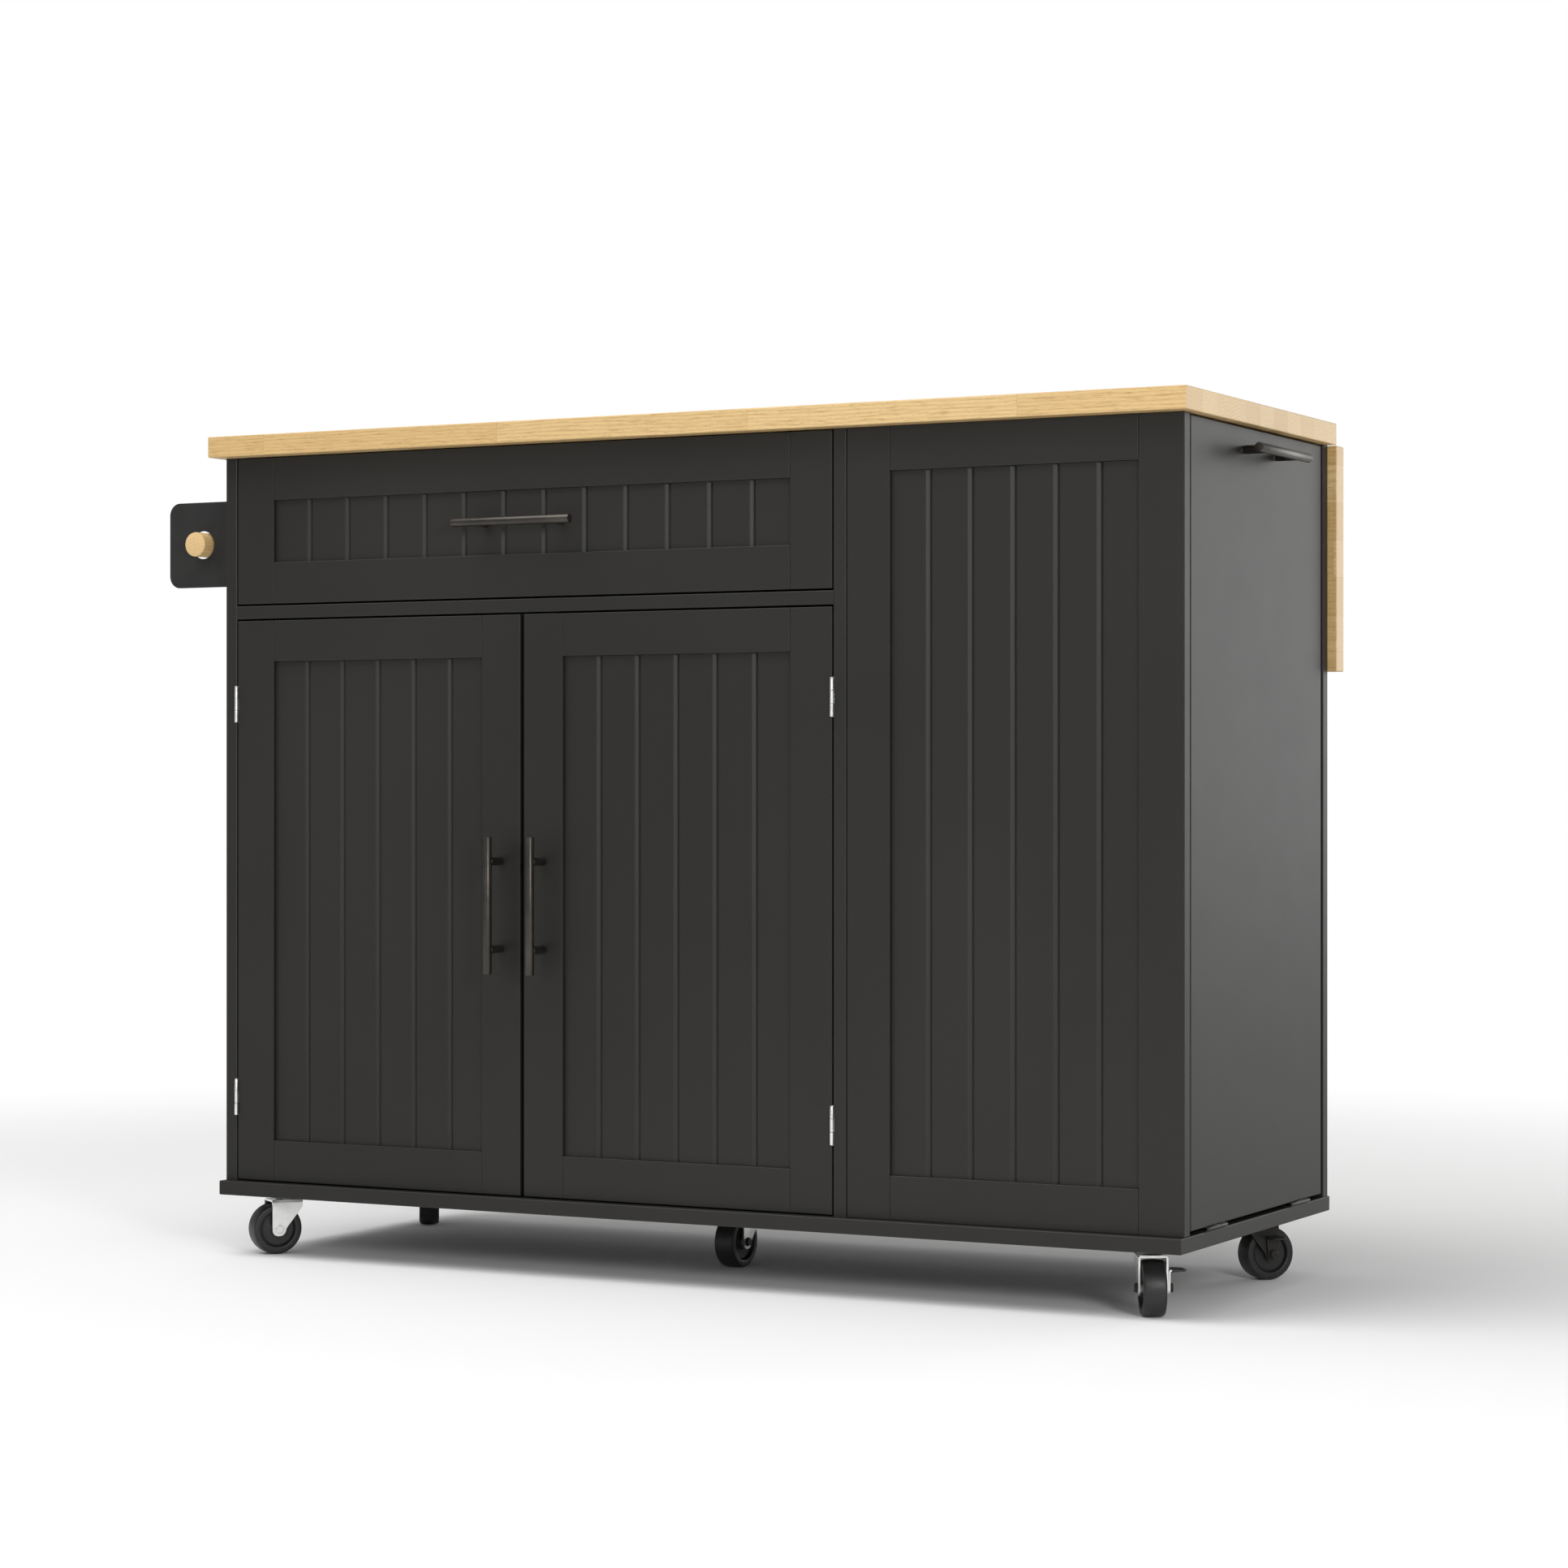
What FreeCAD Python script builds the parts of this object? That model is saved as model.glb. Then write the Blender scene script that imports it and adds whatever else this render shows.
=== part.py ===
import FreeCAD, Part
import Sketcher
import math
import operator
import os

# Rolling kitchen island: a painted cabinet with one drawer, two hinged doors, a fixed
# beadboard front, a tilt-out end door with a bin holder, a wooden counter with a drop
# leaf behind, a towel bar at the left end and five swivel casters below.
# X runs to the right along the front, Y to the back, Z up. The origin lies on the
# floor, under the middle of the whole object's outline. Lengths in millimetres.

SIZES = {
    # for all pieces
    "overshoot": 1.0,
    "small_sides": 12,
    "bar_sides": 16,
    "wheel_sides": 36,
    # counter and leaf
    "counter_length": 1190.0,
    "counter_depth": 447.4,
    "counter_thickness": 23.5,
    "leaf_width": 247.2,
    "leaf_gap": 0.6,
    "wood_chamfer": 0.8,
    # carcass
    "end_overhang": 10.0,
    "front_overhang": 21.4,
    "rear_overhang": 0.9,
    "body_height": 823.0,
    "board": 15.0,
    "board_chamfer": 0.8,
    "opening_width": 763.0,
    "post_gap": 1.0,
    "base_thickness": 16.0,
    "base_end_lip": 1.0,
    "base_front_lip": 12.1,
    "base_rear_lip": 3.7,
    "back_thickness": 5.0,
    "rear_cavity": 15.0,
    "back_end_play": 1.0,
    "rear_post_width": 50.0,
    "rear_rail_height": 75.0,
    "rail_depth": 60.0,
    "divider_bottom": 639.2,
    # framed fronts
    "hinge_gap": 1.6,
    "door_gap": 4.5,
    "door_floor_gap": 1.4,
    "rail_gap": 2.0,
    "drawer_top_gap": 1.0,
    "stile_width": 49.5,
    "rail_low": 46.2,
    "rail_high": 46.6,
    "drawer_rail_low": 46.8,
    "drawer_rail_high": 48.4,
    "recess": 4.5,
    "rabbet": 8.0,
    "panel_fit": 0.3,
    "edge_chamfer": 0.7,
    "groove_width": 7.75,
    "groove_depth": 3.1,
    "door_planks": 47.7,
    "drawer_planks": 51.57,
    "door_grooves": 5,
    "drawer_grooves": 12,
    # bar handles
    "handle_length": 150.0,
    "handle_bar": 10.0,
    "handle_post": 9.0,
    "handle_spacing": 96.0,
    "handle_reach": 28.0,
    "door_handle_height": 319.3,
    "drawer_handle_height": 738.0,
    "tilt_handle_height": 797.0,
    # door hinges
    "door_barrel": 4.0,
    "door_hinge_length": 42.0,
    "door_hinge_low": 95.2,
    "door_hinge_high": 542.5,
    "door_axis_reach": 2.0,
    "hinge_sheet": 1.1,
    "hinge_plate": 14.0,
    "mortise_fit": 0.1,
    "knuckle_gap": 0.3,
    "pin_share": 0.5,
    "pin_fit": 0.05,
    # magnetic catch
    "catch_width": 64.0,
    "catch_depth": 14.0,
    "catch_height": 11.0,
    "strike_width": 22.0,
    "strike_height": 15.0,
    "strike_sheet": 1.0,
    "strike_play": 0.3,
    # shelf
    "shelf_height": 318.0,
    "shelf_setback": 40.0,
    "shelf_play": 0.8,
    "shelf_pin": 5.0,
    "shelf_pin_sink": 8.0,
    "shelf_pin_reach": 9.0,
    "shelf_pin_inset": 40.0,
    "pin_hole_pitch": 64.0,
    # drawer box
    "drawer_side": 12.0,
    "drawer_box_height": 110.0,
    "drawer_box_lift": 16.0,
    "drawer_behind": 38.1,
    "drawer_floor": 5.0,
    "drawer_floor_lift": 8.0,
    "drawer_floor_sink": 6.0,
    # telescopic slides
    "slide_space": 13.0,
    "slide_height": 45.0,
    "slide_sheet": 1.2,
    "slide_play": 0.3,
    "slide_setback": 3.0,
    "slide_behind": 37.1,
    "slide_wall_flange": 9.0,
    "slide_lift": 32.0,
    # tilt-out end door
    "tilt_front_gap": 2.2,
    "tilt_rear_gap": 6.8,
    "tilt_floor_gap": 4.4,
    "tilt_top_gap": 2.0,
    "tilt_axis_reach": 1.0,
    "tilt_barrel": 4.0,
    "tilt_hinge_sheet": 0.8,
    "tilt_hinge_length": 56.0,
    "tilt_hinge_inset": 41.4,
    "tilt_hinge_plate": 18.0,
    "bin_board_height": 420.0,
    "bin_board_depth": 300.0,
    "bin_side_play": 23.05,
    "bin_hole_depth": 240.0,
    "bin_hole_rim": 30.0,
    "bin_hole_corner": 30.0,
    "gusset_drop": 180.0,
    "gusset_depth": 230.0,
    "gusset_tip": 20.0,
    # quadrant stay of the end door
    "quadrant_radius": 480.0,
    "quadrant_width": 12.0,
    "quadrant_sheet": 3.0,
    "quadrant_inset": 11.0,
    "quadrant_play": 0.5,
    "quadrant_travel": 30.0,
    "quadrant_tip": 1.0,
    "guide_offset": 36.0,
    "guide_length": 12.0,
    "guide_wall": 4.0,
    "guide_drop": 10.0,
    "stop_pin": 6.0,
    "stop_pin_length": 9.0,
    "quadrant_foot_height": 40.0,
    "quadrant_foot_width": 14.0,
    # leaf hinges and folding stays
    "leaf_barrel": 7.0,
    "leaf_hinge_length": 60.0,
    "leaf_hinge_sheet": 1.6,
    "leaf_hinge_plate": 30.0,
    "leaf_hinge_inset": 95.0,
    "leaf_notch_play": 0.6,
    "stay_inset": 230.0,
    "stay_drop": 90.0,
    "stay_reach": 8.0,
    "stay_length": 142.0,
    "stay_sheet": 3.0,
    "stay_width": 11.0,
    "stay_pin": 5.0,
    "stay_rivet": 8.0,
    "stay_play": 0.3,
    "lug_sheet": 2.0,
    "lug_width": 24.0,
    "lug_height": 34.0,
    "lug_round": 5.0,
    "roller": 9.0,
    "roller_width": 5.0,
    "channel_width": 20.0,
    "channel_depth": 12.0,
    "channel_sheet": 1.5,
    "channel_low": 250.0,
    "channel_high": 92.0,
    # towel bar
    "bracket_height": 98.0,
    "bracket_reach": 93.2,
    "bracket_sheet": 2.0,
    "bracket_setback": 18.6,
    "bracket_flange": 32.0,
    "bracket_middle": 727.0,
    "bracket_corner": 14.0,
    "bracket_hole": 32.0,
    "towel_bar": 28.0,
    "towel_bar_reach": 46.2,
    "towel_bar_nose": 15.8,
    "towel_bar_chamfer": 1.0,
    # casters
    "caster_height": 69.0,
    "caster_end_inset": 55.2,
    "caster_front_inset": 56.2,
    "caster_rear_inset": 90.0,
    "caster_middle_x": 580.4,
    "caster_middle_y": 207.4,
    "caster_plate": 50.0,
    "caster_plate_sheet": 2.0,
    "caster_plate_corner": 6.0,
    "race_diameter": 32.0,
    "kingpin": 8.0,
    "kingpin_head": 12.0,
    "kingpin_head_height": 2.0,
    "swivel_play": 0.3,
    "fork_sheet": 2.0,
    "fork_top": 62.0,
    "fork_lead": 13.0,
    "fork_tip": 8.0,
    "fork_tip_round": 7.0,
    "fork_bend": 3.0,
    "wheel_diameter": 58.0,
    "wheel_width": 24.0,
    "wheel_trail": 15.0,
    "wheel_play": 0.3,
    "fork_room": 1.2,
    "dish_depth": 2.6,
    "dish_diameter": 42.0,
    "tread_bevel": 3.8,
    "spacer": 12.0,
    "axle": 6.0,
    "axle_fit": 0.05,
    "bolt_head": 10.0,
    "bolt_head_height": 3.2,
    # brake lever
    "lever_sheet": 2.0,
    "lever_play": 0.3,
    "lever_root": 6.0,
    "lever_rise": 19.0,
    "lever_spread": 8.0,
    "lever_tab": 16.5,
}

CASTER_TURNS = {
    "front_left": 234.0,
    "front_right": -60.6,
    "middle": -92.2,
    "rear_right": 50.4,
    "rear_left": 123.4,
}
NEAR = 0.01
ALONG = 0.999
HEXAGON = 6

doc = FreeCAD.newDocument("kitchen_island")
sheet = doc.addObject("Spreadsheet::Sheet", "Sizes")
for row, (alias, amount) in enumerate(SIZES.items(), start=1):
    sheet.set("A%d" % row, alias)
    sheet.set("B%d" % row, str(amount))
    sheet.setAlias("B%d" % row, alias)
for row, (place, turn) in enumerate(CASTER_TURNS.items(), start=len(SIZES) + 1):
    sheet.set("A%d" % row, "turn_" + place)
    sheet.set("B%d" % row, str(turn))
    sheet.setAlias("B%d" % row, "turn_" + place)
doc.recompute()


class Dim:
    """A length or angle as a sheet formula together with its present value."""

    def __init__(self, formula, value):
        self.formula = formula
        self.value = value

    def __add__(self, other):
        return combine(self, "+", other, operator.add)

    def __radd__(self, other):
        return combine(other, "+", self, operator.add)

    def __sub__(self, other):
        return combine(self, "-", other, operator.sub)

    def __rsub__(self, other):
        return combine(other, "-", self, operator.sub)

    def __mul__(self, other):
        return combine(self, "*", other, operator.mul)

    def __rmul__(self, other):
        return combine(other, "*", self, operator.mul)

    def __truediv__(self, other):
        return combine(self, "/", other, operator.truediv)

    def __neg__(self):
        return combine(0, "-", self, operator.sub)


def dim(value):
    if isinstance(value, Dim):
        return value
    return Dim("(%s)" % repr(value) if value < 0 else repr(value), float(value))


def combine(left, sign, right, work):
    left, right = dim(left), dim(right)
    return Dim("(%s %s %s)" % (left.formula, sign, right.formula), work(left.value, right.value))


class SheetDims:
    """Gives each sheet cell as a Dim under its alias."""

    def __getattr__(self, alias):
        return Dim("Sizes." + alias, float(sheet.get(alias)))


S = SheetDims()


def bind(item, prop, amount):
    item.setExpression(prop, dim(amount).formula)


def stand_at(item, x, y, z):
    """Bind an object's place in the frame that it is drawn in."""
    for prop, amount in (("x", x), ("y", y), ("z", z)):
        bind(item, "Placement.Base." + prop, amount)


def lie_at(item, x, y, z):
    """Bind an object's place, given from the left front end of the counter and the floor."""
    stand_at(item, dim(x) - origin_x, dim(y) - origin_y, z)


# Levels and lines that several pieces share. X is counted from the counter's left end,
# Y from the counter's front face and Z from the floor.
base_bottom = S.caster_height
floor_z = base_bottom + S.base_thickness
body_top = floor_z + S.body_height
body_left = S.end_overhang
body_right = S.counter_length - S.end_overhang
front_y = S.front_overhang
front_back_y = front_y + S.board
body_rear = S.counter_depth - S.rear_overhang
base_left = body_left - S.base_end_lip
base_right = body_right + S.base_end_lip
base_front = front_y - S.base_front_lip
base_rear = body_rear + S.base_rear_lip
back_face = body_rear - S.rear_cavity
back_front = back_face - S.back_thickness
bay_left = body_left + S.board
bay_right = bay_left + S.opening_width
post_right = bay_right + S.board
fixed_left = post_right + S.post_gap
tilt_outer = body_right
tilt_inner = body_right - S.board
divider_z = floor_z + S.divider_bottom
divider_top = divider_z + S.board
rack_left = body_left - S.bracket_reach
handle_outer = S.handle_reach + S.handle_bar / 2
leaf_back = S.counter_depth + S.counter_thickness
origin_x = (rack_left + tilt_outer + handle_outer) / 2
origin_y = (front_y - handle_outer + leaf_back) / 2


# Building blocks

def new_box(name, x0, x1, y0, y1, z0, z1):
    """A box between two corners, its sides and place bound to the sheet."""
    box = doc.addObject("Part::Box", name)
    bind(box, "Length", dim(x1) - x0)
    bind(box, "Width", dim(y1) - y0)
    bind(box, "Height", dim(z1) - z0)
    lie_at(box, x0, y0, z0)
    return box


AXES = {"x": FreeCAD.Vector(1, 0, 0), "y": FreeCAD.Vector(0, 1, 0), "z": FreeCAD.Vector(0, 0, 1)}


def turned(axis):
    """The rotation that lays a +Z cylinder along the named axis."""
    return FreeCAD.Rotation(AXES["z"], AXES[axis])


def new_rod(name, axis, x, y, z, radius, length):
    """A true round rod that starts at a point and runs along a frame axis."""
    rod = doc.addObject("Part::Cylinder", name)
    rod.Placement = FreeCAD.Placement(FreeCAD.Vector(), turned(axis))
    bind(rod, "Radius", radius)
    bind(rod, "Height", length)
    lie_at(rod, x, y, z)
    return rod


def new_pin(name, axis, x, y, z, radius, length, sides=None, place=lie_at):
    """A small round, drawn with a few flat sides, that starts at a point and runs along an axis."""
    pin = doc.addObject("Part::Prism", name)
    pin.Placement = FreeCAD.Placement(FreeCAD.Vector(), turned(axis))
    bind(pin, "Polygon", S.small_sides if sides is None else sides)
    bind(pin, "Circumradius", radius)
    bind(pin, "Height", length)
    place(pin, x, y, z)
    return pin


def clear_of(radius):
    """The corner radius of a many-sided hole whose flats clear a round of the given radius."""
    radius = dim(radius)
    half_side = math.pi / S.small_sides.value
    return Dim("(%s / cos(180deg / Sizes.small_sides))" % radius.formula, radius.value / math.cos(half_side))


def new_cut(name, base, tools):
    for number, tool in enumerate(tools, start=1):
        cut = doc.addObject("Part::Cut", "%s_cut%d" % (name, number))
        cut.Base = base
        cut.Tool = tool
        base = cut
    return base


def new_fuse(name, pieces):
    fuse = doc.addObject("Part::MultiFuse", name)
    fuse.Shapes = pieces
    return fuse


def ease(name, base, size, wanted):
    """Take the sharpness off the straight edges of a board that a test picks."""
    doc.recompute()
    picked = []
    for number, edge in enumerate(base.Shape.Edges, start=1):
        if edge.Curve.TypeId == "Part::GeomLine" and wanted(edge):
            picked.append((number, size.value, size.value))
    eased = doc.addObject("Part::Chamfer", name + "_eased")
    eased.Base = base
    eased.Edges = picked
    return eased


def runs_along(edge, axis):
    start, end = edge.Vertexes[0].Point, edge.Vertexes[-1].Point
    return abs((end - start).normalize().dot(AXES[axis])) > ALONG


def finished(label, item):
    """Name a finished piece: its Label is the node's name."""
    item.Label = label
    nodes.append(item)
    return item


def group(label, pieces):
    """One node of several alike or matched solids."""
    compound = doc.addObject("Part::Compound", label)
    compound.Links = pieces
    return finished(label, compound)


nodes = []


def new_body(name):
    return doc.addObject("PartDesign::Body", name)


def plane_of(body, role):
    for feature in body.Origin.OriginFeatures:
        if feature.Role == role:
            return feature


def new_sketch(body, role, name, offset=None):
    """A sketch on one of its body's own origin planes, lifted off it by a bound offset."""
    sketch = body.newObject("Sketcher::SketchObject", name)
    sketch.AttachmentSupport = [(plane_of(body, role), "")]
    sketch.MapMode = "FlatFace"
    if offset is not None:
        bind(sketch, "AttachmentOffset.Base.z", offset)
    return sketch


def draw_polygon(sketch, points):
    """A closed outline whose corners are each bound to two sizes."""
    first = sketch.GeometryCount
    corners = [(dim(x), dim(y)) for x, y in points]
    count = len(corners)
    for number in range(count):
        a, b = corners[number], corners[(number + 1) % count]
        start = FreeCAD.Vector(a[0].value, a[1].value, 0)
        end = FreeCAD.Vector(b[0].value, b[1].value, 0)
        sketch.addGeometry(Part.LineSegment(start, end), False)
    for number in range(count):
        here, after = first + number, first + (number + 1) % count
        sketch.addConstraint(Sketcher.Constraint("Coincident", here, 2, after, 1))
    for number, (x, y) in enumerate(corners):
        for direction, amount in (("DistanceX", x), ("DistanceY", y)):
            rule = Sketcher.Constraint(direction, -1, 1, first + number, 1, amount.value)
            index = sketch.addConstraint(rule)
            sketch.setExpression("Constraints[%d]" % index, amount.formula)
    return sketch


def draw_circle(sketch, x, y, radius):
    """A circle bound to its centre and radius."""
    x, y, radius = dim(x), dim(y), dim(radius)
    centre = FreeCAD.Vector(x.value, y.value, 0)
    number = sketch.addGeometry(Part.Circle(centre, AXES["z"], radius.value))
    for direction, amount in (("DistanceX", x), ("DistanceY", y)):
        index = sketch.addConstraint(Sketcher.Constraint(direction, -1, 1, number, 3, amount.value))
        sketch.setExpression("Constraints[%d]" % index, amount.formula)
    index = sketch.addConstraint(Sketcher.Constraint("Radius", number, radius.value))
    sketch.setExpression("Constraints[%d]" % index, radius.formula)
    return sketch


def new_pad(body, sketch, length, reverse=False, middle=False):
    pad = body.newObject("PartDesign::Pad", sketch.Name + "_pad")
    pad.Profile = sketch
    bind(pad, "Length", length)
    pad.Reversed = reverse
    pad.Midplane = middle
    return pad


def new_pocket(body, sketch, length, reverse=False, middle=False):
    pocket = body.newObject("PartDesign::Pocket", sketch.Name + "_pocket")
    pocket.Profile = sketch
    bind(pocket, "Length", length)
    pocket.Reversed = reverse
    pocket.Midplane = middle
    return pocket


def new_edge_feature(body, kind, prop, size, wanted, curve="Part::GeomLine"):
    """A fillet or chamfer inside a body, on the edges of one kind that a test picks."""
    doc.recompute()
    base = body.Tip
    names = []
    for number, edge in enumerate(base.Shape.Edges, start=1):
        if edge.Curve.TypeId == curve and wanted(edge):
            names.append("Edge%d" % number)
    feature = body.newObject(kind, body.Name + prop.lower())
    feature.Base = (base, names)
    bind(feature, prop, size)
    return feature


def chamfer_rims(body, size):
    """Ease both round ends of a plain rod."""
    return new_edge_feature(body, "PartDesign::Chamfer", "Size", size, lambda edge: True, "Part::GeomCircle")


# Countertop and drop leaf

leaf_hinge_centres = [
    S.leaf_hinge_inset,
    S.counter_length / 2,
    S.counter_length - S.leaf_hinge_inset,
]
axis_y = S.counter_depth
axis_z = body_top
notch = clear_of(S.leaf_barrel / 2 + S.leaf_notch_play)
leaf_mortise_reach = S.leaf_hinge_length / 2 + S.mortise_fit
leaf_mortise_ends = [(x - leaf_mortise_reach, x + leaf_mortise_reach) for x in leaf_hinge_centres]
leaf_mortise_width = S.leaf_hinge_plate + S.mortise_fit
leaf_mortise_depth = S.leaf_hinge_sheet + S.mortise_fit


def make_countertop():
    """The wooden top, with mortises for the leaf hinges along its rear lower edge."""
    slab = new_box("counter_slab", 0, S.counter_length, 0, S.counter_depth, body_top,
                   body_top + S.counter_thickness)
    eased = ease("counter", slab, S.wood_chamfer, lambda edge: True)
    tools = []
    for number, (low, high) in enumerate(leaf_mortise_ends):
        name = "counter_mortise%d" % number
        tools.append(new_box(name, low, high, axis_y - leaf_mortise_width, axis_y + S.overshoot,
                             body_top - S.overshoot, body_top + leaf_mortise_depth))
        tools.append(new_pin(name + "_notch", "x", low, axis_y, axis_z, notch, high - low))
    finished("countertop", new_cut("countertop", eased, tools))


def make_drop_leaf():
    """The leaf hangs behind the cabinet with its hinge edge just below the counter."""
    top = body_top - S.leaf_gap
    slab = new_box("leaf_slab", 0, S.counter_length, S.counter_depth, leaf_back, top - S.leaf_width, top)
    eased = ease("leaf", slab, S.wood_chamfer, lambda edge: True)
    tools = []
    for number, (low, high) in enumerate(leaf_mortise_ends):
        name = "leaf_mortise%d" % number
        tools.append(new_box(name, low, high, axis_y - S.overshoot, axis_y + leaf_mortise_depth,
                             axis_z - leaf_mortise_width, axis_z + S.overshoot))
        tools.append(new_pin(name + "_notch", "x", low, axis_y, axis_z, notch, high - low))
    finished("drop_leaf", new_cut("drop_leaf", eased, tools))


make_countertop()
make_drop_leaf()


# Hinges. A hinge is two leaves, each a plate with its own knuckles. The first carries
# the outer knuckles and the pin, the second the middle knuckle.

def knuckle_rows(length):
    third = length / 3
    outer = [(dim(0), third - S.knuckle_gap / 2), (2 * third + S.knuckle_gap / 2, length)]
    inner = [(third + S.knuckle_gap / 2, 2 * third - S.knuckle_gap / 2)]
    return outer, inner


def corners_along(axis, start, low, high, u0, u1, v0, v1):
    """Box corners for a stretch along the axis and a cross-section (u, v) about it."""
    x, y, z = start
    if axis == "x":
        return x + low, x + high, y + u0, y + u1, z + v0, z + v1
    if axis == "y":
        return x + u0, x + u1, y + low, y + high, z + v0, z + v1
    return x + u0, x + u1, y + v0, y + v1, z + low, z + high


def shifted(axis, start, amount):
    x, y, z = start
    return {"x": (x + amount, y, z), "y": (x, y + amount, z), "z": (x, y, z + amount)}[axis]


def hinge_leaf(name, axis, start, length, diameter, plate, neck, rows, with_pin):
    """A plate, the necks that join it to its knuckles, and the knuckles on the pin's line."""
    radius = diameter / 2
    pin = radius * S.pin_share
    pieces = [new_box(name + "_plate", *corners_along(axis, start, dim(0), length, *plate))]
    for number, (low, high) in enumerate(rows):
        label = "%s_knuckle%d" % (name, number)
        pieces.append(new_pin(label, axis, *shifted(axis, start, low), radius, high - low))
        pieces.append(new_box(label + "_neck", *corners_along(axis, start, low, high, *neck)))
    solid = new_fuse(name + "_fuse", pieces)
    if with_pin:
        rod = new_pin(name + "_pin", axis, *start, pin, length)
        return new_fuse(name + "_with_pin", [solid, rod])
    bore = new_pin(name + "_bore", axis, *shifted(axis, start, -S.overshoot), clear_of(pin + S.pin_fit),
                   length + 2 * S.overshoot)
    return new_cut(name + "_bored", solid, [bore])


def hinge_pair(name, axis, start, length, diameter, fixed, moving):
    """Both leaves of one hinge; each of fixed and moving is (plate, neck) about the axis."""
    outer, inner = knuckle_rows(length)
    carrier = hinge_leaf(name + "_fixed", axis, start, length, diameter, fixed[0], fixed[1], outer, True)
    flap = hinge_leaf(name + "_moving", axis, start, length, diameter, moving[0], moving[1], inner, False)
    return carrier, flap


# Door hinges: plates let into the cabinet side or post and into the door's edge.
door_axis_y = front_y - S.door_axis_reach
door_hinge_levels = [floor_z + S.door_hinge_low, floor_z + S.door_hinge_high]
plate_start = S.door_barrel / 2 + S.knuckle_gap
plate_end = S.door_axis_reach + S.hinge_plate
half_gap = S.hinge_gap / 2
plate_out = half_gap + S.hinge_sheet


def make_door_hinges():
    carriers = []
    flaps = {"left": [], "right": []}
    for side, line, hand in (("left", bay_left + half_gap, 1), ("right", bay_right - half_gap, -1)):
        near, far = (-plate_out, -half_gap) if hand > 0 else (half_gap, plate_out)
        mnear, mfar = (half_gap, plate_out) if hand > 0 else (-plate_out, -half_gap)
        for number, level in enumerate(door_hinge_levels):
            start = (line, door_axis_y, level - S.door_hinge_length / 2)
            fixed = ((near, far, plate_start, plate_end), (near, far, dim(0), plate_start))
            moving = ((mnear, mfar, plate_start, plate_end), (mnear, mfar, dim(0), plate_start))
            name = "door_hinge_%s%d" % (side, number)
            carrier, flap = hinge_pair(name, "z", start, S.door_hinge_length, S.door_barrel, fixed, moving)
            carriers.append(carrier)
            flaps[side].append(flap)
    return carriers, flaps


def hinge_mortises(name, face_x, hand):
    """Shallow housings for the door hinge plates, cut into a face square to X."""
    deep = S.hinge_sheet + S.mortise_fit
    low, high = (-S.overshoot, deep) if hand > 0 else (-deep, S.overshoot)
    tools = []
    for number, level in enumerate(door_hinge_levels):
        reach = S.door_hinge_length / 2 + S.mortise_fit
        tools.append(new_box("%s_mortise%d" % (name, number), face_x + low, face_x + high,
                             front_y - S.overshoot, door_axis_y + plate_end + S.mortise_fit,
                             level - reach, level + reach))
    return tools


door_carriers, door_flaps = make_door_hinges()
group("door_hinge_plates", door_carriers)


# Carcass boards

shelf_bottom = floor_z + S.shelf_height
shelf_front = front_back_y + S.shelf_setback
pin_columns = [shelf_front + S.shelf_pin_inset, back_front - S.shelf_pin_inset]
pin_z = shelf_bottom - S.shelf_pin / 2


def pin_holes(name, face_x, hand):
    """Rows of shelf pin holes, three heights in two columns."""
    tools = []
    start = face_x - S.shelf_pin_sink if hand > 0 else face_x - S.overshoot
    for column, y in enumerate(pin_columns):
        for row, step in enumerate((-1, 0, 1)):
            label = "%s_hole%d%d" % (name, column, row)
            tools.append(new_pin(label, "x", start, y, pin_z + step * S.pin_hole_pitch, S.shelf_pin / 2,
                                 S.shelf_pin_sink + S.overshoot))
    return tools


def front_edges(edge):
    """The long front edges of an upright board."""
    middle = edge.CenterOfMass
    return runs_along(edge, "z") and abs(middle.y + origin_y.value - front_y.value) < NEAR


def lower_front_edges(edge):
    """The long front edges of a board that runs along the front."""
    return runs_along(edge, "x") and abs(edge.CenterOfMass.y + origin_y.value - front_y.value) < NEAR


def right_end_edges(edge):
    """The edges on a board's face at the cabinet's right end."""
    return edge.CenterOfMass.x + origin_x.value > body_right.value - NEAR


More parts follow.
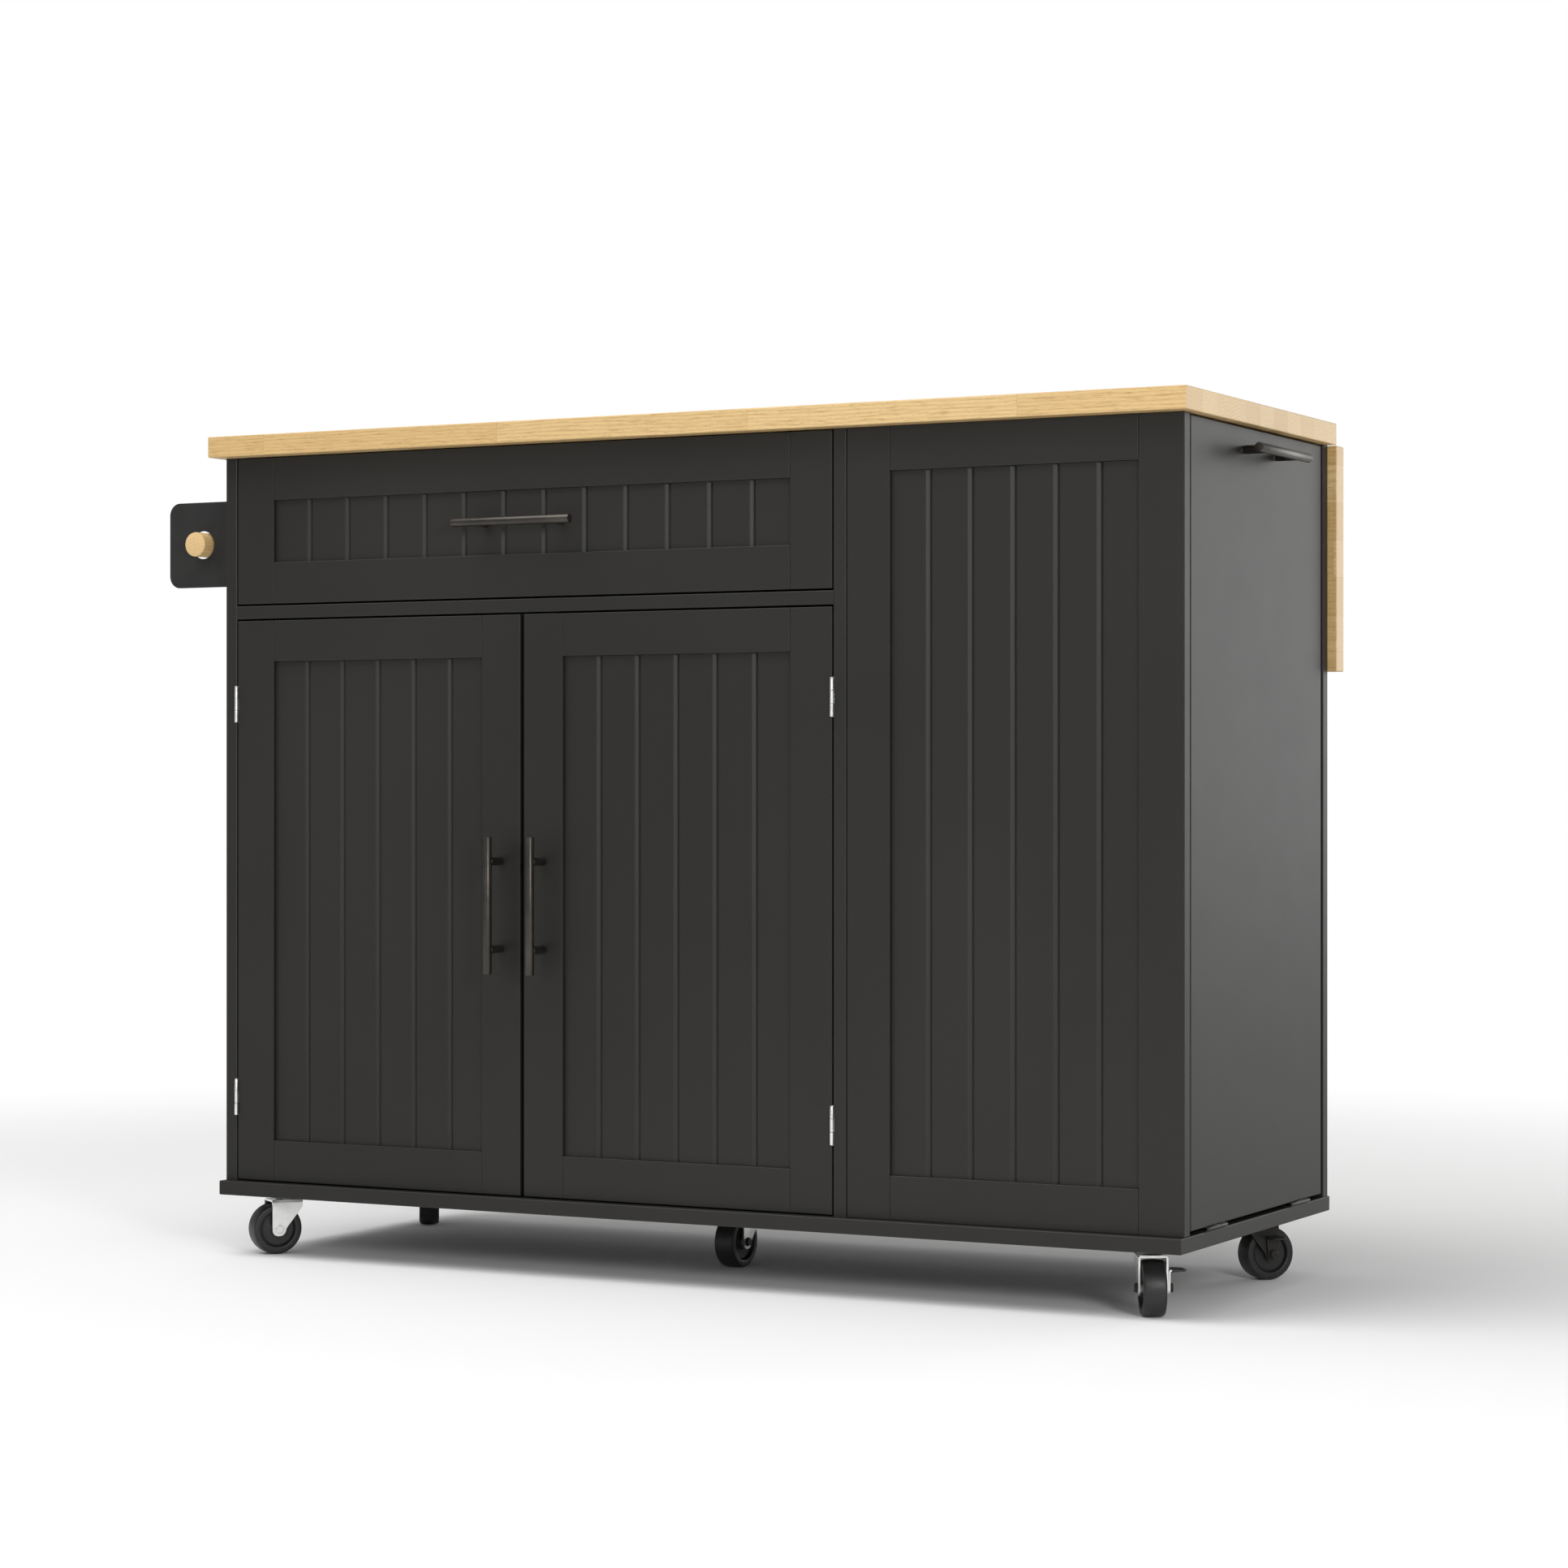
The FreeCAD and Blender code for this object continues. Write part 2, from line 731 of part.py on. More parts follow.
def make_boards():
    side = new_box("side_board", body_left, bay_left, front_y, body_rear, floor_z, body_top)
    side = ease("side", side, S.board_chamfer, front_edges)
    tools = hinge_mortises("side", bay_left, -1) + pin_holes("side", bay_left, 1)
    finished("side_panel_left", new_cut("side_panel_left", side, tools))

    post = new_box("partition_board", bay_right, post_right, front_y, back_front, floor_z, body_top)
    post = ease("partition", post, S.board_chamfer, front_edges)
    tools = hinge_mortises("partition", bay_right, 1) + pin_holes("partition", bay_right, -1)
    finished("partition_panel", new_cut("partition_panel", post, tools))

    base = new_box("base_slab", base_left, base_right, base_front, base_rear, base_bottom, floor_z)
    finished("base_board", ease("base", base, S.board_chamfer, lambda edge: True))

    finished("back_panel", new_box("back_sheet", bay_left, tilt_inner - S.back_end_play, back_front,
                                   back_face, floor_z, body_top))

    post = new_box("rear_post_board", body_right - S.rear_post_width, body_right, back_face, body_rear,
                   floor_z, body_top)
    finished("rear_post", ease("rear_post", post, S.board_chamfer, lambda edge: runs_along(edge, "z") and
                               right_end_edges(edge)))

    rail_low = body_top - S.rear_rail_height
    rail_front = back_front - S.board
    left = new_box("rear_rail_left", bay_left, bay_right, rail_front, back_front, rail_low, body_top)
    right = new_box("rear_rail_right", post_right, tilt_inner - S.rail_depth, rail_front, back_front,
                    rail_low, body_top)
    group("rear_rails", [left, right])

    finished("top_rail_front", new_box("top_rail_board", bay_left, bay_right, front_back_y + S.rail_gap,
                                       front_back_y + S.rail_depth, body_top - S.board, body_top))

    rail = new_box("divider_board", bay_left, bay_right, front_y, front_y + S.rail_depth, divider_z,
                   divider_top)
    finished("divider_rail", ease("divider", rail, S.board_chamfer, lower_front_edges))

    finished("shelf", new_box("shelf_board", bay_left + S.shelf_play, bay_right - S.shelf_play, shelf_front,
                              back_front - S.shelf_play, shelf_bottom, shelf_bottom + S.board))
    pins = []
    for side, start in (("left", bay_left - S.shelf_pin_sink), ("right", bay_right - S.shelf_pin_reach)):
        for number, y in enumerate(pin_columns):
            pins.append(new_pin("shelf_pin_%s%d" % (side, number), "x", start, y, pin_z, S.shelf_pin / 2,
                                S.shelf_pin_sink + S.shelf_pin_reach))
    group("shelf_pins", pins)


make_boards()


# Framed fronts: full-height stiles, rails lapped behind them, and a beadboard panel
# held in a rabbet behind the frame.

def make_stile(name, x, z0, z1, hand):
    """An upright frame member; hand is 1 where its inner edge faces +X."""
    width, lap, chamfer = S.stile_width, S.rabbet, S.edge_chamfer
    body = new_body(name)
    outline = [(chamfer, 0), (width - chamfer, 0), (width, chamfer), (width, S.recess),
               (width - lap, S.recess), (width - lap, S.board), (0, S.board), (0, chamfer)]
    if hand < 0:
        outline = [(width - px, py) for px, py in outline]
    new_pad(body, draw_polygon(new_sketch(body, "XY_Plane", name + "_outline"), outline), z1 - z0)
    lie_at(body, x, front_y, z0)
    return body


def make_rail(name, x0, x1, z0, width, hand):
    """A cross member whose rear half laps behind both stiles; hand is 1 below the panel."""
    lap, chamfer = S.rabbet, S.edge_chamfer
    length = x1 - x0
    body = new_body(name)
    outline = [(chamfer, 0), (length - chamfer, 0), (length, chamfer), (length, S.recess),
               (length + lap, S.recess), (length + lap, S.board), (-lap, S.board), (-lap, S.recess),
               (0, S.recess), (0, chamfer)]
    new_pad(body, draw_polygon(new_sketch(body, "XY_Plane", name + "_outline"), outline), width)
    housing = new_sketch(body, "XY_Plane", name + "_rabbet", width - lap if hand > 0 else None)
    left, right = -lap - S.overshoot, length + lap + S.overshoot
    back = S.board + S.overshoot
    draw_polygon(housing, [(left, S.recess), (right, S.recess), (right, back), (left, back)])
    new_pocket(body, housing, lap, reverse=True)
    new_edge_feature(body, "PartDesign::Chamfer", "Size", chamfer,
                     lambda edge: runs_along(edge, "x") and abs(edge.CenterOfMass.y) < NEAR)
    lie_at(body, x0, front_y, z0)
    return body


def make_beadboard(label, x0, x1, z0, z1, pitch, grooves):
    """The recessed panel with its row of V-grooves, centred in the frame's opening."""
    lap = S.rabbet - S.panel_fit
    width, height = x1 - x0 + 2 * lap, z1 - z0 + 2 * lap
    body = new_body(label + "_body")
    slab = draw_polygon(new_sketch(body, "XY_Plane", label + "_slab"),
                        [(0, 0), (width, 0), (width, S.board - S.recess), (0, S.board - S.recess)])
    new_pad(body, slab, height)
    span = pitch * (grooves - 1)
    first = (width - span) / 2
    half = S.groove_width / 2
    vee = draw_polygon(new_sketch(body, "XY_Plane", label + "_vee"),
                       [(first - half, 0), (first + half, 0), (first, S.groove_depth)])
    cut = new_pocket(body, vee, height, reverse=True)
    doc.recompute()
    row = body.newObject("PartDesign::LinearPattern", label + "_row")
    row.Originals = [cut]
    row.Direction = (vee, ["H_Axis"])
    bind(row, "Length", span)
    bind(row, "Occurrences", grooves)
    body.Tip = row
    lie_at(body, x0 - lap, front_y + S.recess, z0 - lap)
    finished(label, body)


def make_front(prefix, x0, x1, z0, z1, low, high, pitch, grooves, mortises=None):
    """Frame and beadboard of one front; mortises is (stile side, list of cutting boxes)."""
    left = make_stile(prefix + "_stile_left", x0, z0, z1, 1)
    right = make_stile(prefix + "_stile_right", x1 - S.stile_width, z0, z1, -1)
    if mortises is not None and mortises[0] == "left":
        left = new_cut(prefix + "_stile_left", left, mortises[1])
    if mortises is not None and mortises[0] == "right":
        right = new_cut(prefix + "_stile_right", right, mortises[1])
    inner_left, inner_right = x0 + S.stile_width, x1 - S.stile_width
    bottom = make_rail(prefix + "_rail_low", inner_left, inner_right, z0, low, 1)
    top = make_rail(prefix + "_rail_high", inner_left, inner_right, z1 - high, high, -1)
    group(prefix + "_frame", [left, right, bottom, top])
    make_beadboard(prefix + "_beadboard", inner_left, inner_right, z0 + low, z1 - high, pitch, grooves)


door_low = floor_z + S.door_floor_gap
door_top = divider_z - S.rail_gap
door_width = (S.opening_width - 2 * S.hinge_gap - S.door_gap) / 2
left_door_x = bay_left + S.hinge_gap
right_door_x = bay_right - S.hinge_gap
drawer_low = divider_top + S.rail_gap
drawer_top = body_top - S.drawer_top_gap

make_front("door_left", left_door_x, left_door_x + door_width, door_low, door_top, S.rail_low, S.rail_high,
           S.door_planks, S.door_grooves, ("left", hinge_mortises("door_left", left_door_x, 1)))
make_front("door_right", right_door_x - door_width, right_door_x, door_low, door_top, S.rail_low, S.rail_high,
           S.door_planks, S.door_grooves, ("right", hinge_mortises("door_right", right_door_x, -1)))
make_front("drawer", left_door_x, right_door_x, drawer_low, drawer_top, S.drawer_rail_low, S.drawer_rail_high,
           S.drawer_planks, S.drawer_grooves)
make_front("fixed_front", fixed_left, body_right, floor_z, body_top, S.rail_low, S.rail_high,
           S.door_planks, S.door_grooves)


# Bar handles

def make_handle(label, rotation, x, y, z):
    """A round bar along its own Z on two posts that stand on the plane Y = 0."""
    bar = new_pin(label + "_bar", "z", 0, -S.handle_reach, -S.handle_length / 2, S.handle_bar / 2,
                  S.handle_length, S.bar_sides, stand_at)
    posts = []
    for side in (-1, 1):
        posts.append(new_pin("%s_post%d" % (label, side > 0), "y", 0, -S.handle_reach,
                             side * S.handle_spacing / 2, S.handle_post / 2, S.handle_reach, place=stand_at))
    node = group(label, [new_fuse(label + "_solid", [bar] + posts)])
    node.Placement = FreeCAD.Placement(FreeCAD.Vector(), rotation)
    lie_at(node, x, y, z)


upright = FreeCAD.Rotation()
sideways = FreeCAD.Rotation(AXES["y"], 90)
end_on = FreeCAD.Rotation(AXES["z"], 90).multiply(FreeCAD.Rotation(AXES["y"], 90))
handle_z = floor_z + S.door_handle_height
make_handle("door_left_handle", upright, left_door_x + door_width - S.stile_width / 2, front_y, handle_z)
make_handle("door_right_handle", upright, right_door_x - door_width + S.stile_width / 2, front_y, handle_z)
make_handle("drawer_handle", sideways, (left_door_x + right_door_x) / 2, front_y + S.recess,
            floor_z + S.drawer_handle_height)


# Magnetic catch under the divider, with a strike plate on each door

def make_catch():
    middle = (bay_left + bay_right) / 2
    catch_front = front_back_y + S.strike_sheet + S.strike_play
    block = new_box("catch_block", middle - S.catch_width / 2, middle + S.catch_width / 2, catch_front,
                    catch_front + S.catch_depth, divider_z - S.catch_height, divider_z)
    finished("door_catch", block)
    for side, hand in (("left", -1), ("right", 1)):
        inner = middle + hand * (S.catch_width / 2 - S.strike_width)
        outer = middle + hand * S.catch_width / 2
        low, high = (outer, inner) if hand < 0 else (inner, outer)
        top = door_top - S.rail_gap
        strike = new_box("strike_" + side, low, high, front_back_y, front_back_y + S.strike_sheet,
                         top - S.strike_height, top)
        group("door_%s_fittings" % side, door_flaps[side] + [strike])


make_catch()


# Drawer box and telescopic slides

box_left = bay_left + S.slide_space
box_right = bay_right - S.slide_space
box_low = drawer_low + S.drawer_box_lift
box_high = box_low + S.drawer_box_height
box_rear = back_front - S.drawer_behind
box_floor = box_low + S.drawer_floor_lift
slide_front = front_back_y + S.slide_setback
slide_length = back_front - S.slide_behind - slide_front


def make_drawer_box():
    sink, fit = S.drawer_floor_sink, S.mortise_fit
    housing = new_box("drawer_housing", box_left + S.drawer_side - sink, box_right - S.drawer_side + sink,
                      front_back_y - S.overshoot, box_rear - S.drawer_side + sink, box_floor - fit,
                      box_floor + S.drawer_floor + fit)
    left = new_box("drawer_side_l", box_left, box_left + S.drawer_side, front_back_y, box_rear, box_low,
                   box_high)
    right = new_box("drawer_side_r", box_right - S.drawer_side, box_right, front_back_y, box_rear, box_low,
                    box_high)
    sides = [new_cut("drawer_side_left", left, [housing]), new_cut("drawer_side_right", right, [housing])]
    group("drawer_sides", sides)
    back = new_box("drawer_back_board", box_left + S.drawer_side, box_right - S.drawer_side,
                   box_rear - S.drawer_side, box_rear, box_low, box_high)
    finished("drawer_back", new_cut("drawer_back", back, [housing]))
    tucked = S.drawer_side - sink + fit
    finished("drawer_bottom", new_box("drawer_floor_sheet", box_left + tucked, box_right - tucked,
                                      front_back_y, box_rear - tucked, box_floor, box_floor + S.drawer_floor))


def make_slide_member(name, side, web, opens, reach, half):
    """A channel on its side: its web lies web from the wall and its flanges end at reach."""
    sheet_size = S.slide_sheet
    inside = web + opens * sheet_size
    outline = [(web, -half), (web, half), (reach, half), (reach, half - sheet_size),
               (inside, half - sheet_size), (inside, sheet_size - half), (reach, sheet_size - half),
               (reach, -half)]
    if side == "right":
        outline = [(-px, py) for px, py in outline]
    body = new_body(name)
    section = draw_polygon(new_sketch(body, "XZ_Plane", name + "_outline"), outline)
    new_pad(body, section, slide_length, reverse=True)
    lie_at(body, bay_left if side == "left" else bay_right, slide_front,
           box_low + S.slide_lift + S.slide_height / 2)
    return body


def make_slides():
    """Outer members on the cabinet, middle members inside them, inner members on the drawer."""
    step = S.slide_sheet + S.slide_play
    half = S.slide_height / 2
    members = [
        ("outer", dim(0), 1, S.slide_wall_flange, half),
        ("middle", step, 1, S.slide_wall_flange + step, half - step),
        ("inner", S.slide_space, -1, 2 * step, half - 2 * step),
    ]
    for member, web, opens, reach, height in members:
        pair = []
        for side in ("left", "right"):
            pair.append(make_slide_member("slide_%s_%s" % (member, side), side, web, opens, reach, height))
        group("slides_" + member, pair)


make_drawer_box()
make_slides()


# Tilt-out end door with its bin holder

tilt_y0 = front_back_y + S.tilt_front_gap
tilt_y1 = back_face - S.tilt_rear_gap
tilt_low = floor_z + S.tilt_floor_gap
tilt_top = body_top - S.tilt_top_gap
tilt_axis_x = tilt_outer + S.tilt_axis_reach
tilt_axis_z = floor_z + S.tilt_floor_gap / 2
bin_y0 = tilt_y0 + S.bin_side_play
bin_y1 = tilt_y1 - S.bin_side_play
bin_z = floor_z + S.bin_board_height


def make_tilt_door():
    door = new_box("tilt_board", tilt_inner, tilt_outer, tilt_y0, tilt_y1, tilt_low, tilt_top)
    finished("tilt_door_panel", ease("tilt_door", door, S.board_chamfer, right_end_edges))
    make_handle("tilt_door_handle", end_on, tilt_outer, (tilt_y0 + tilt_y1) / 2,
                floor_z + S.tilt_handle_height)

    carriers, flaps = [], []
    gap = S.tilt_floor_gap / 2
    plate0, plate1 = -S.tilt_hinge_plate, -(S.tilt_barrel / 2 + S.knuckle_gap)
    hinge_starts = (tilt_y0 + S.tilt_hinge_inset, tilt_y1 - S.tilt_hinge_inset - S.tilt_hinge_length)
    for number, y in enumerate(hinge_starts):
        low, high = (-gap, S.tilt_hinge_sheet - gap), (gap - S.tilt_hinge_sheet, gap)
        fixed = ((plate0, plate1, *low), (plate1, dim(0), *low))
        moving = ((plate0, plate1, *high), (plate1, dim(0), *high))
        carrier, flap = hinge_pair("tilt_hinge%d" % number, "y", (tilt_axis_x, y, tilt_axis_z),
                                   S.tilt_hinge_length, S.tilt_barrel, fixed, moving)
        carriers.append(carrier)
        flaps.append(flap)
    group("tilt_hinge_plates", carriers)
    group("tilt_door_hinges", flaps)


def make_bin_holder():
    """A board with a rounded cut-out for the bin, on two gussets behind the end door."""
    body = new_body("bin_board")
    depth, width = S.bin_board_depth, bin_y1 - bin_y0
    board = draw_polygon(new_sketch(body, "XY_Plane", "bin_outline"),
                         [(-depth, 0), (0, 0), (0, width), (-depth, width)])
    new_pad(body, board, S.board)
    x0 = -(depth + S.bin_hole_depth) / 2
    x1 = x0 + S.bin_hole_depth
    y0, y1 = S.bin_hole_rim, width - S.bin_hole_rim
    hole = draw_polygon(new_sketch(body, "XY_Plane", "bin_hole"), [(x0, y0), (x1, y0), (x1, y1), (x0, y1)])
    new_pocket(body, hole, S.board, reverse=True)

    def hole_corner(edge):
        middle = edge.CenterOfMass.x
        return runs_along(edge, "z") and min(abs(middle - x0.value), abs(middle - x1.value)) < NEAR

    new_edge_feature(body, "PartDesign::Fillet", "Radius", S.bin_hole_corner, hole_corner)
    lie_at(body, tilt_inner, bin_y0, bin_z)
    gussets = []
    for number, y in enumerate((bin_y0, bin_y1 - S.board)):
        gusset = new_body("gusset%d" % number)
        outline = [(0, 0), (-S.gusset_depth, 0), (-S.gusset_depth, -S.gusset_tip),
                   (-S.gusset_tip, -S.gusset_drop), (0, -S.gusset_drop)]
        side = draw_polygon(new_sketch(gusset, "XZ_Plane", "gusset_outline%d" % number), outline)
        new_pad(gusset, side, S.board, reverse=True)
        lie_at(gusset, tilt_inner, y, bin_z)
        gussets.append(gusset)
    group("bin_holder", [body] + gussets)


make_tilt_door()
make_bin_holder()


# Quadrant stay: an arc of flat steel about the hinge line, sliding through a guide

quadrant_y = tilt_y1 - S.quadrant_inset
quadrant_in = S.quadrant_radius - S.quadrant_width / 2
quadrant_out = S.quadrant_radius + S.quadrant_width / 2
guide_face = tilt_inner - S.guide_offset


def arc_bar(name, inner, outer, y0, thickness, start_turn, sweep):
    """A flat ring sector about the end door's hinge line, angles back from upright."""
    body = new_body(name)
    sketch = new_sketch(body, "YZ_Plane", name + "_section")
    draw_polygon(sketch, [(0, inner), (thickness, inner), (thickness, outer), (0, outer)])
    bend = body.newObject("PartDesign::Revolution", name + "_bend")
    bend.Profile = sketch
    bend.ReferenceAxis = (sketch, ["H_Axis"])
    bind(bend, "Angle", sweep)
    body.Placement = FreeCAD.Placement(FreeCAD.Vector(), FreeCAD.Rotation(-AXES["y"], start_turn.value))
    bind(body, "Placement.Rotation.Angle", start_turn)
    lie_at(body, tilt_axis_x, y0, tilt_axis_z)
    return body


def degrees_back(offset):
    """Angle back from upright of a point on the quadrant that lies offset behind the hinge line."""
    return Dim("(asin(%s / Sizes.quadrant_radius) / 1deg)" % offset.formula,
               math.degrees(math.asin(offset.value / S.quadrant_radius.value)))


def make_quadrant():
    root = degrees_back(tilt_axis_x - tilt_inner)
    stopped_at = tilt_axis_x - guide_face + S.guide_length + S.stop_pin / 2 + S.quadrant_play
    stop_turn = degrees_back(stopped_at) + S.quadrant_travel
    radians = math.radians(stop_turn.value)
    tip_turn = stop_turn + S.quadrant_tip
    arm = arc_bar("quadrant_arm", quadrant_in, quadrant_out, quadrant_y, S.quadrant_sheet, tip_turn,
                  tip_turn - root)
    pin = new_pin("quadrant_stop", "y", tilt_axis_x - S.quadrant_radius * math.sin(radians),
                  quadrant_y + S.quadrant_sheet / 2 - S.stop_pin_length / 2,
                  tilt_axis_z + S.quadrant_radius * math.cos(radians), S.stop_pin / 2, S.stop_pin_length)
    crown = tilt_axis_z + S.quadrant_radius
    back = quadrant_y + S.quadrant_sheet
    foot = new_box("quadrant_foot", tilt_inner - S.quadrant_sheet, tilt_inner, back - S.quadrant_foot_width,
                   back, crown - S.quadrant_foot_height / 2, crown + S.quadrant_foot_height / 2)
    finished("quadrant_stay", new_fuse("quadrant_fuse", [arm, pin, foot]))

    wall, play = S.guide_wall, S.quadrant_play
    block = new_box("guide_block", guide_face - S.guide_length, guide_face, quadrant_y - play - wall,
                    back_front, tilt_axis_z + quadrant_in - S.guide_drop, tilt_axis_z + quadrant_out + wall)
    slot = S.quadrant_sheet + 2 * play
    ring_out = new_rod("guide_ring_out", "y", tilt_axis_x, quadrant_y - play, tilt_axis_z,
                       quadrant_out + play, slot)
    ring_in = new_rod("guide_ring_in", "y", tilt_axis_x, quadrant_y - play - S.overshoot, tilt_axis_z,
                      quadrant_in - play, slot + 2 * S.overshoot)
    ring = new_cut("guide_ring", ring_out, [ring_in])
    finished("quadrant_guide", new_cut("quadrant_guide", block, [ring]))


make_quadrant()


# Drop leaf hinges, folding stays and the channels that take the stays' feet

stay_y = axis_y - S.stay_reach
stay_z = axis_z - S.stay_drop
stay_centres = [S.stay_inset, S.counter_length - S.stay_inset]


def make_leaf_hinges():
    carriers, flaps = [], []
    sheet_size = S.leaf_hinge_sheet
    back = S.leaf_barrel / 2 + S.knuckle_gap
    for number, centre in enumerate(leaf_hinge_centres):
        start = (centre - S.leaf_hinge_length / 2, axis_y, axis_z)
        fixed = ((-S.leaf_hinge_plate, -back, dim(0), sheet_size), (-back, dim(0), dim(0), sheet_size))
        moving = ((dim(0), sheet_size, -S.leaf_hinge_plate, -back), (dim(0), sheet_size, -back, dim(0)))
        carrier, flap = hinge_pair("leaf_hinge%d" % number, "x", start, S.leaf_hinge_length, S.leaf_barrel,
                                   fixed, moving)
        carriers.append(carrier)
        flaps.append(flap)
    group("leaf_hinge_plates", carriers)
    return flaps


def make_lug(tag, centre):
    """A plate on the leaf's inner face with an ear that carries the stay's rivet."""
    ear, play = S.lug_sheet, S.stay_play
    arm_x = centre - S.stay_sheet / 2
    ear_x = arm_x - play - ear
    plate = new_box("lug_plate" + tag, centre - S.lug_width / 2, centre + S.lug_width / 2, axis_y - ear,
                    axis_y, stay_z - S.lug_height / 2, stay_z + S.lug_height / 2)
    web = new_box("lug_web" + tag, ear_x, ear_x + ear, stay_y, axis_y - ear, stay_z - S.lug_round,
                  stay_z + S.lug_round)
    nose = new_pin("lug_nose" + tag, "x", ear_x, stay_y, stay_z, S.lug_round, ear)
    rivet = new_pin("lug_rivet" + tag, "x", ear_x, stay_y, stay_z, S.stay_pin / 2,
                    ear + 2 * play + S.stay_sheet)
    head = new_pin("lug_head" + tag, "x", arm_x + S.stay_sheet + play, stay_y, stay_z, S.stay_rivet / 2, ear)
    return new_fuse("stay_lug" + tag, [plate, web, nose, rivet, head])


def make_stay(tag, centre):
    """A flat bar with rounded ends, hung on the lug's rivet, with a roller at its foot."""
    arm_x = centre - S.stay_sheet / 2
    foot_z = stay_z - S.stay_length
    half = S.stay_width / 2
    bar = new_box("stay_bar" + tag, arm_x, arm_x + S.stay_sheet, stay_y - half, stay_y + half, foot_z, stay_z)
    top = new_pin("stay_top" + tag, "x", arm_x, stay_y, stay_z, half, S.stay_sheet)
    end = new_pin("stay_end" + tag, "x", arm_x, stay_y, foot_z, half, S.stay_sheet)
    roller = new_pin("stay_roller" + tag, "x", arm_x + S.stay_sheet, stay_y, foot_z, S.roller / 2,
                     S.roller_width)
    solid = new_fuse("stay_solid" + tag, [bar, top, end, roller])
    bore = new_pin("stay_bore" + tag, "x", arm_x - S.overshoot, stay_y, stay_z,
                   clear_of(S.stay_pin / 2 + S.pin_fit), S.stay_sheet + 2 * S.overshoot)
    return new_cut("stay" + tag, solid, [bore])


def make_channel(tag, centre):
    """An upright channel on the back panel that the stay's roller runs down."""
    half, sheet_size, depth = S.channel_width / 2, S.channel_sheet, S.channel_depth
    outline = [(-half, 0), (half, 0), (half, depth), (half - sheet_size, depth),
               (half - sheet_size, sheet_size), (sheet_size - half, sheet_size), (sheet_size - half, depth),
               (-half, depth)]
    channel = new_body("channel" + tag)
    section = draw_polygon(new_sketch(channel, "XY_Plane", "channel_section" + tag), outline)
    new_pad(channel, section, S.channel_low - S.channel_high)
    lie_at(channel, centre + S.roller_width / 2, back_face, axis_z - S.channel_low)
    return channel


stay_places = [("_left", stay_centres[0]), ("_right", stay_centres[1])]
group("leaf_fittings", make_leaf_hinges() + [make_lug(tag, centre) for tag, centre in stay_places])
group("leaf_stays", [make_stay(tag, centre) for tag, centre in stay_places])
group("stay_channels", [make_channel(tag, centre) for tag, centre in stay_places])


# Towel bar on two steel brackets at the left end

def make_bracket(name, y, hand, with_hole):
    """An angle plate: the wide wing stands out from the cabinet, the flange lies on it."""
    reach, thin, flange = S.bracket_reach, S.bracket_sheet, S.bracket_flange
    body = new_body(name)
    outline = [(-reach, 0), (0, 0), (0, hand * flange), (-thin, hand * flange), (-thin, hand * thin),
               (-reach, hand * thin)]
    new_pad(body, draw_polygon(new_sketch(body, "XY_Plane", name + "_angle"), outline), S.bracket_height)

    def outer_corner(edge):
        return runs_along(edge, "y") and abs(edge.CenterOfMass.x + reach.value) < NEAR

    new_edge_feature(body, "PartDesign::Fillet", "Radius", S.bracket_corner, outer_corner)
    if with_hole:
        hole = draw_circle(new_sketch(body, "XZ_Plane", name + "_hole"), -S.towel_bar_reach,
                           S.bracket_height / 2, S.bracket_hole / 2)
        new_pocket(body, hole, 2 * thin, middle=True)
    lie_at(body, body_left, y, floor_z + S.bracket_middle - S.bracket_height / 2)
    return body


def make_towel_rack():
    front = front_y + S.bracket_setback
    rear = body_rear - S.bracket_setback
    group("towel_brackets", [make_bracket("bracket_front", front, 1, True),
                             make_bracket("bracket_rear", rear, -1, False)])
    start = front - S.towel_bar_nose
    body = new_body("towel_bar_body")
    circle = draw_circle(new_sketch(body, "XZ_Plane", "towel_bar_section"), 0, 0, S.towel_bar / 2)
    new_pad(body, circle, rear - S.bracket_sheet - start, reverse=True)
    chamfer_rims(body, S.towel_bar_chamfer)
    lie_at(body, body_left - S.towel_bar_reach, start, floor_z + S.bracket_middle)
    finished("towel_bar", body)


make_towel_rack()


# Swivel casters. Each is drawn about its own pivot line, trailing along +X, and turned.

wheel_radius = S.wheel_diameter / 2
fork_inner = S.wheel_width / 2 + S.fork_room
fork_outer = fork_inner + S.fork_sheet
plate_bottom = S.caster_height - S.caster_plate_sheet
wheel_bore = S.axle / 2 + S.axle_fit
dish_face = S.wheel_width / 2 - S.dish_depth
spacer_face = dish_face + S.wheel_play
CASTERS = {
    "front_left": (base_left + S.caster_end_inset, base_front + S.caster_front_inset),
    "front_right": (base_right - S.caster_end_inset, base_front + S.caster_front_inset),
    "middle": (S.caster_middle_x, S.caster_middle_y),
    "rear_right": (base_right - S.caster_end_inset, base_rear - S.caster_rear_inset),
    "rear_left": (base_left + S.caster_end_inset, base_rear - S.caster_rear_inset),
}


def turn_and_place(item, place):
    x, y = CASTERS[place]
    angle = getattr(S, "turn_" + place)
    item.Placement = FreeCAD.Placement(FreeCAD.Vector(), FreeCAD.Rotation(AXES["z"], angle.value))
    bind(item, "Placement.Rotation.Angle", angle)
    lie_at(item, x, y, 0)


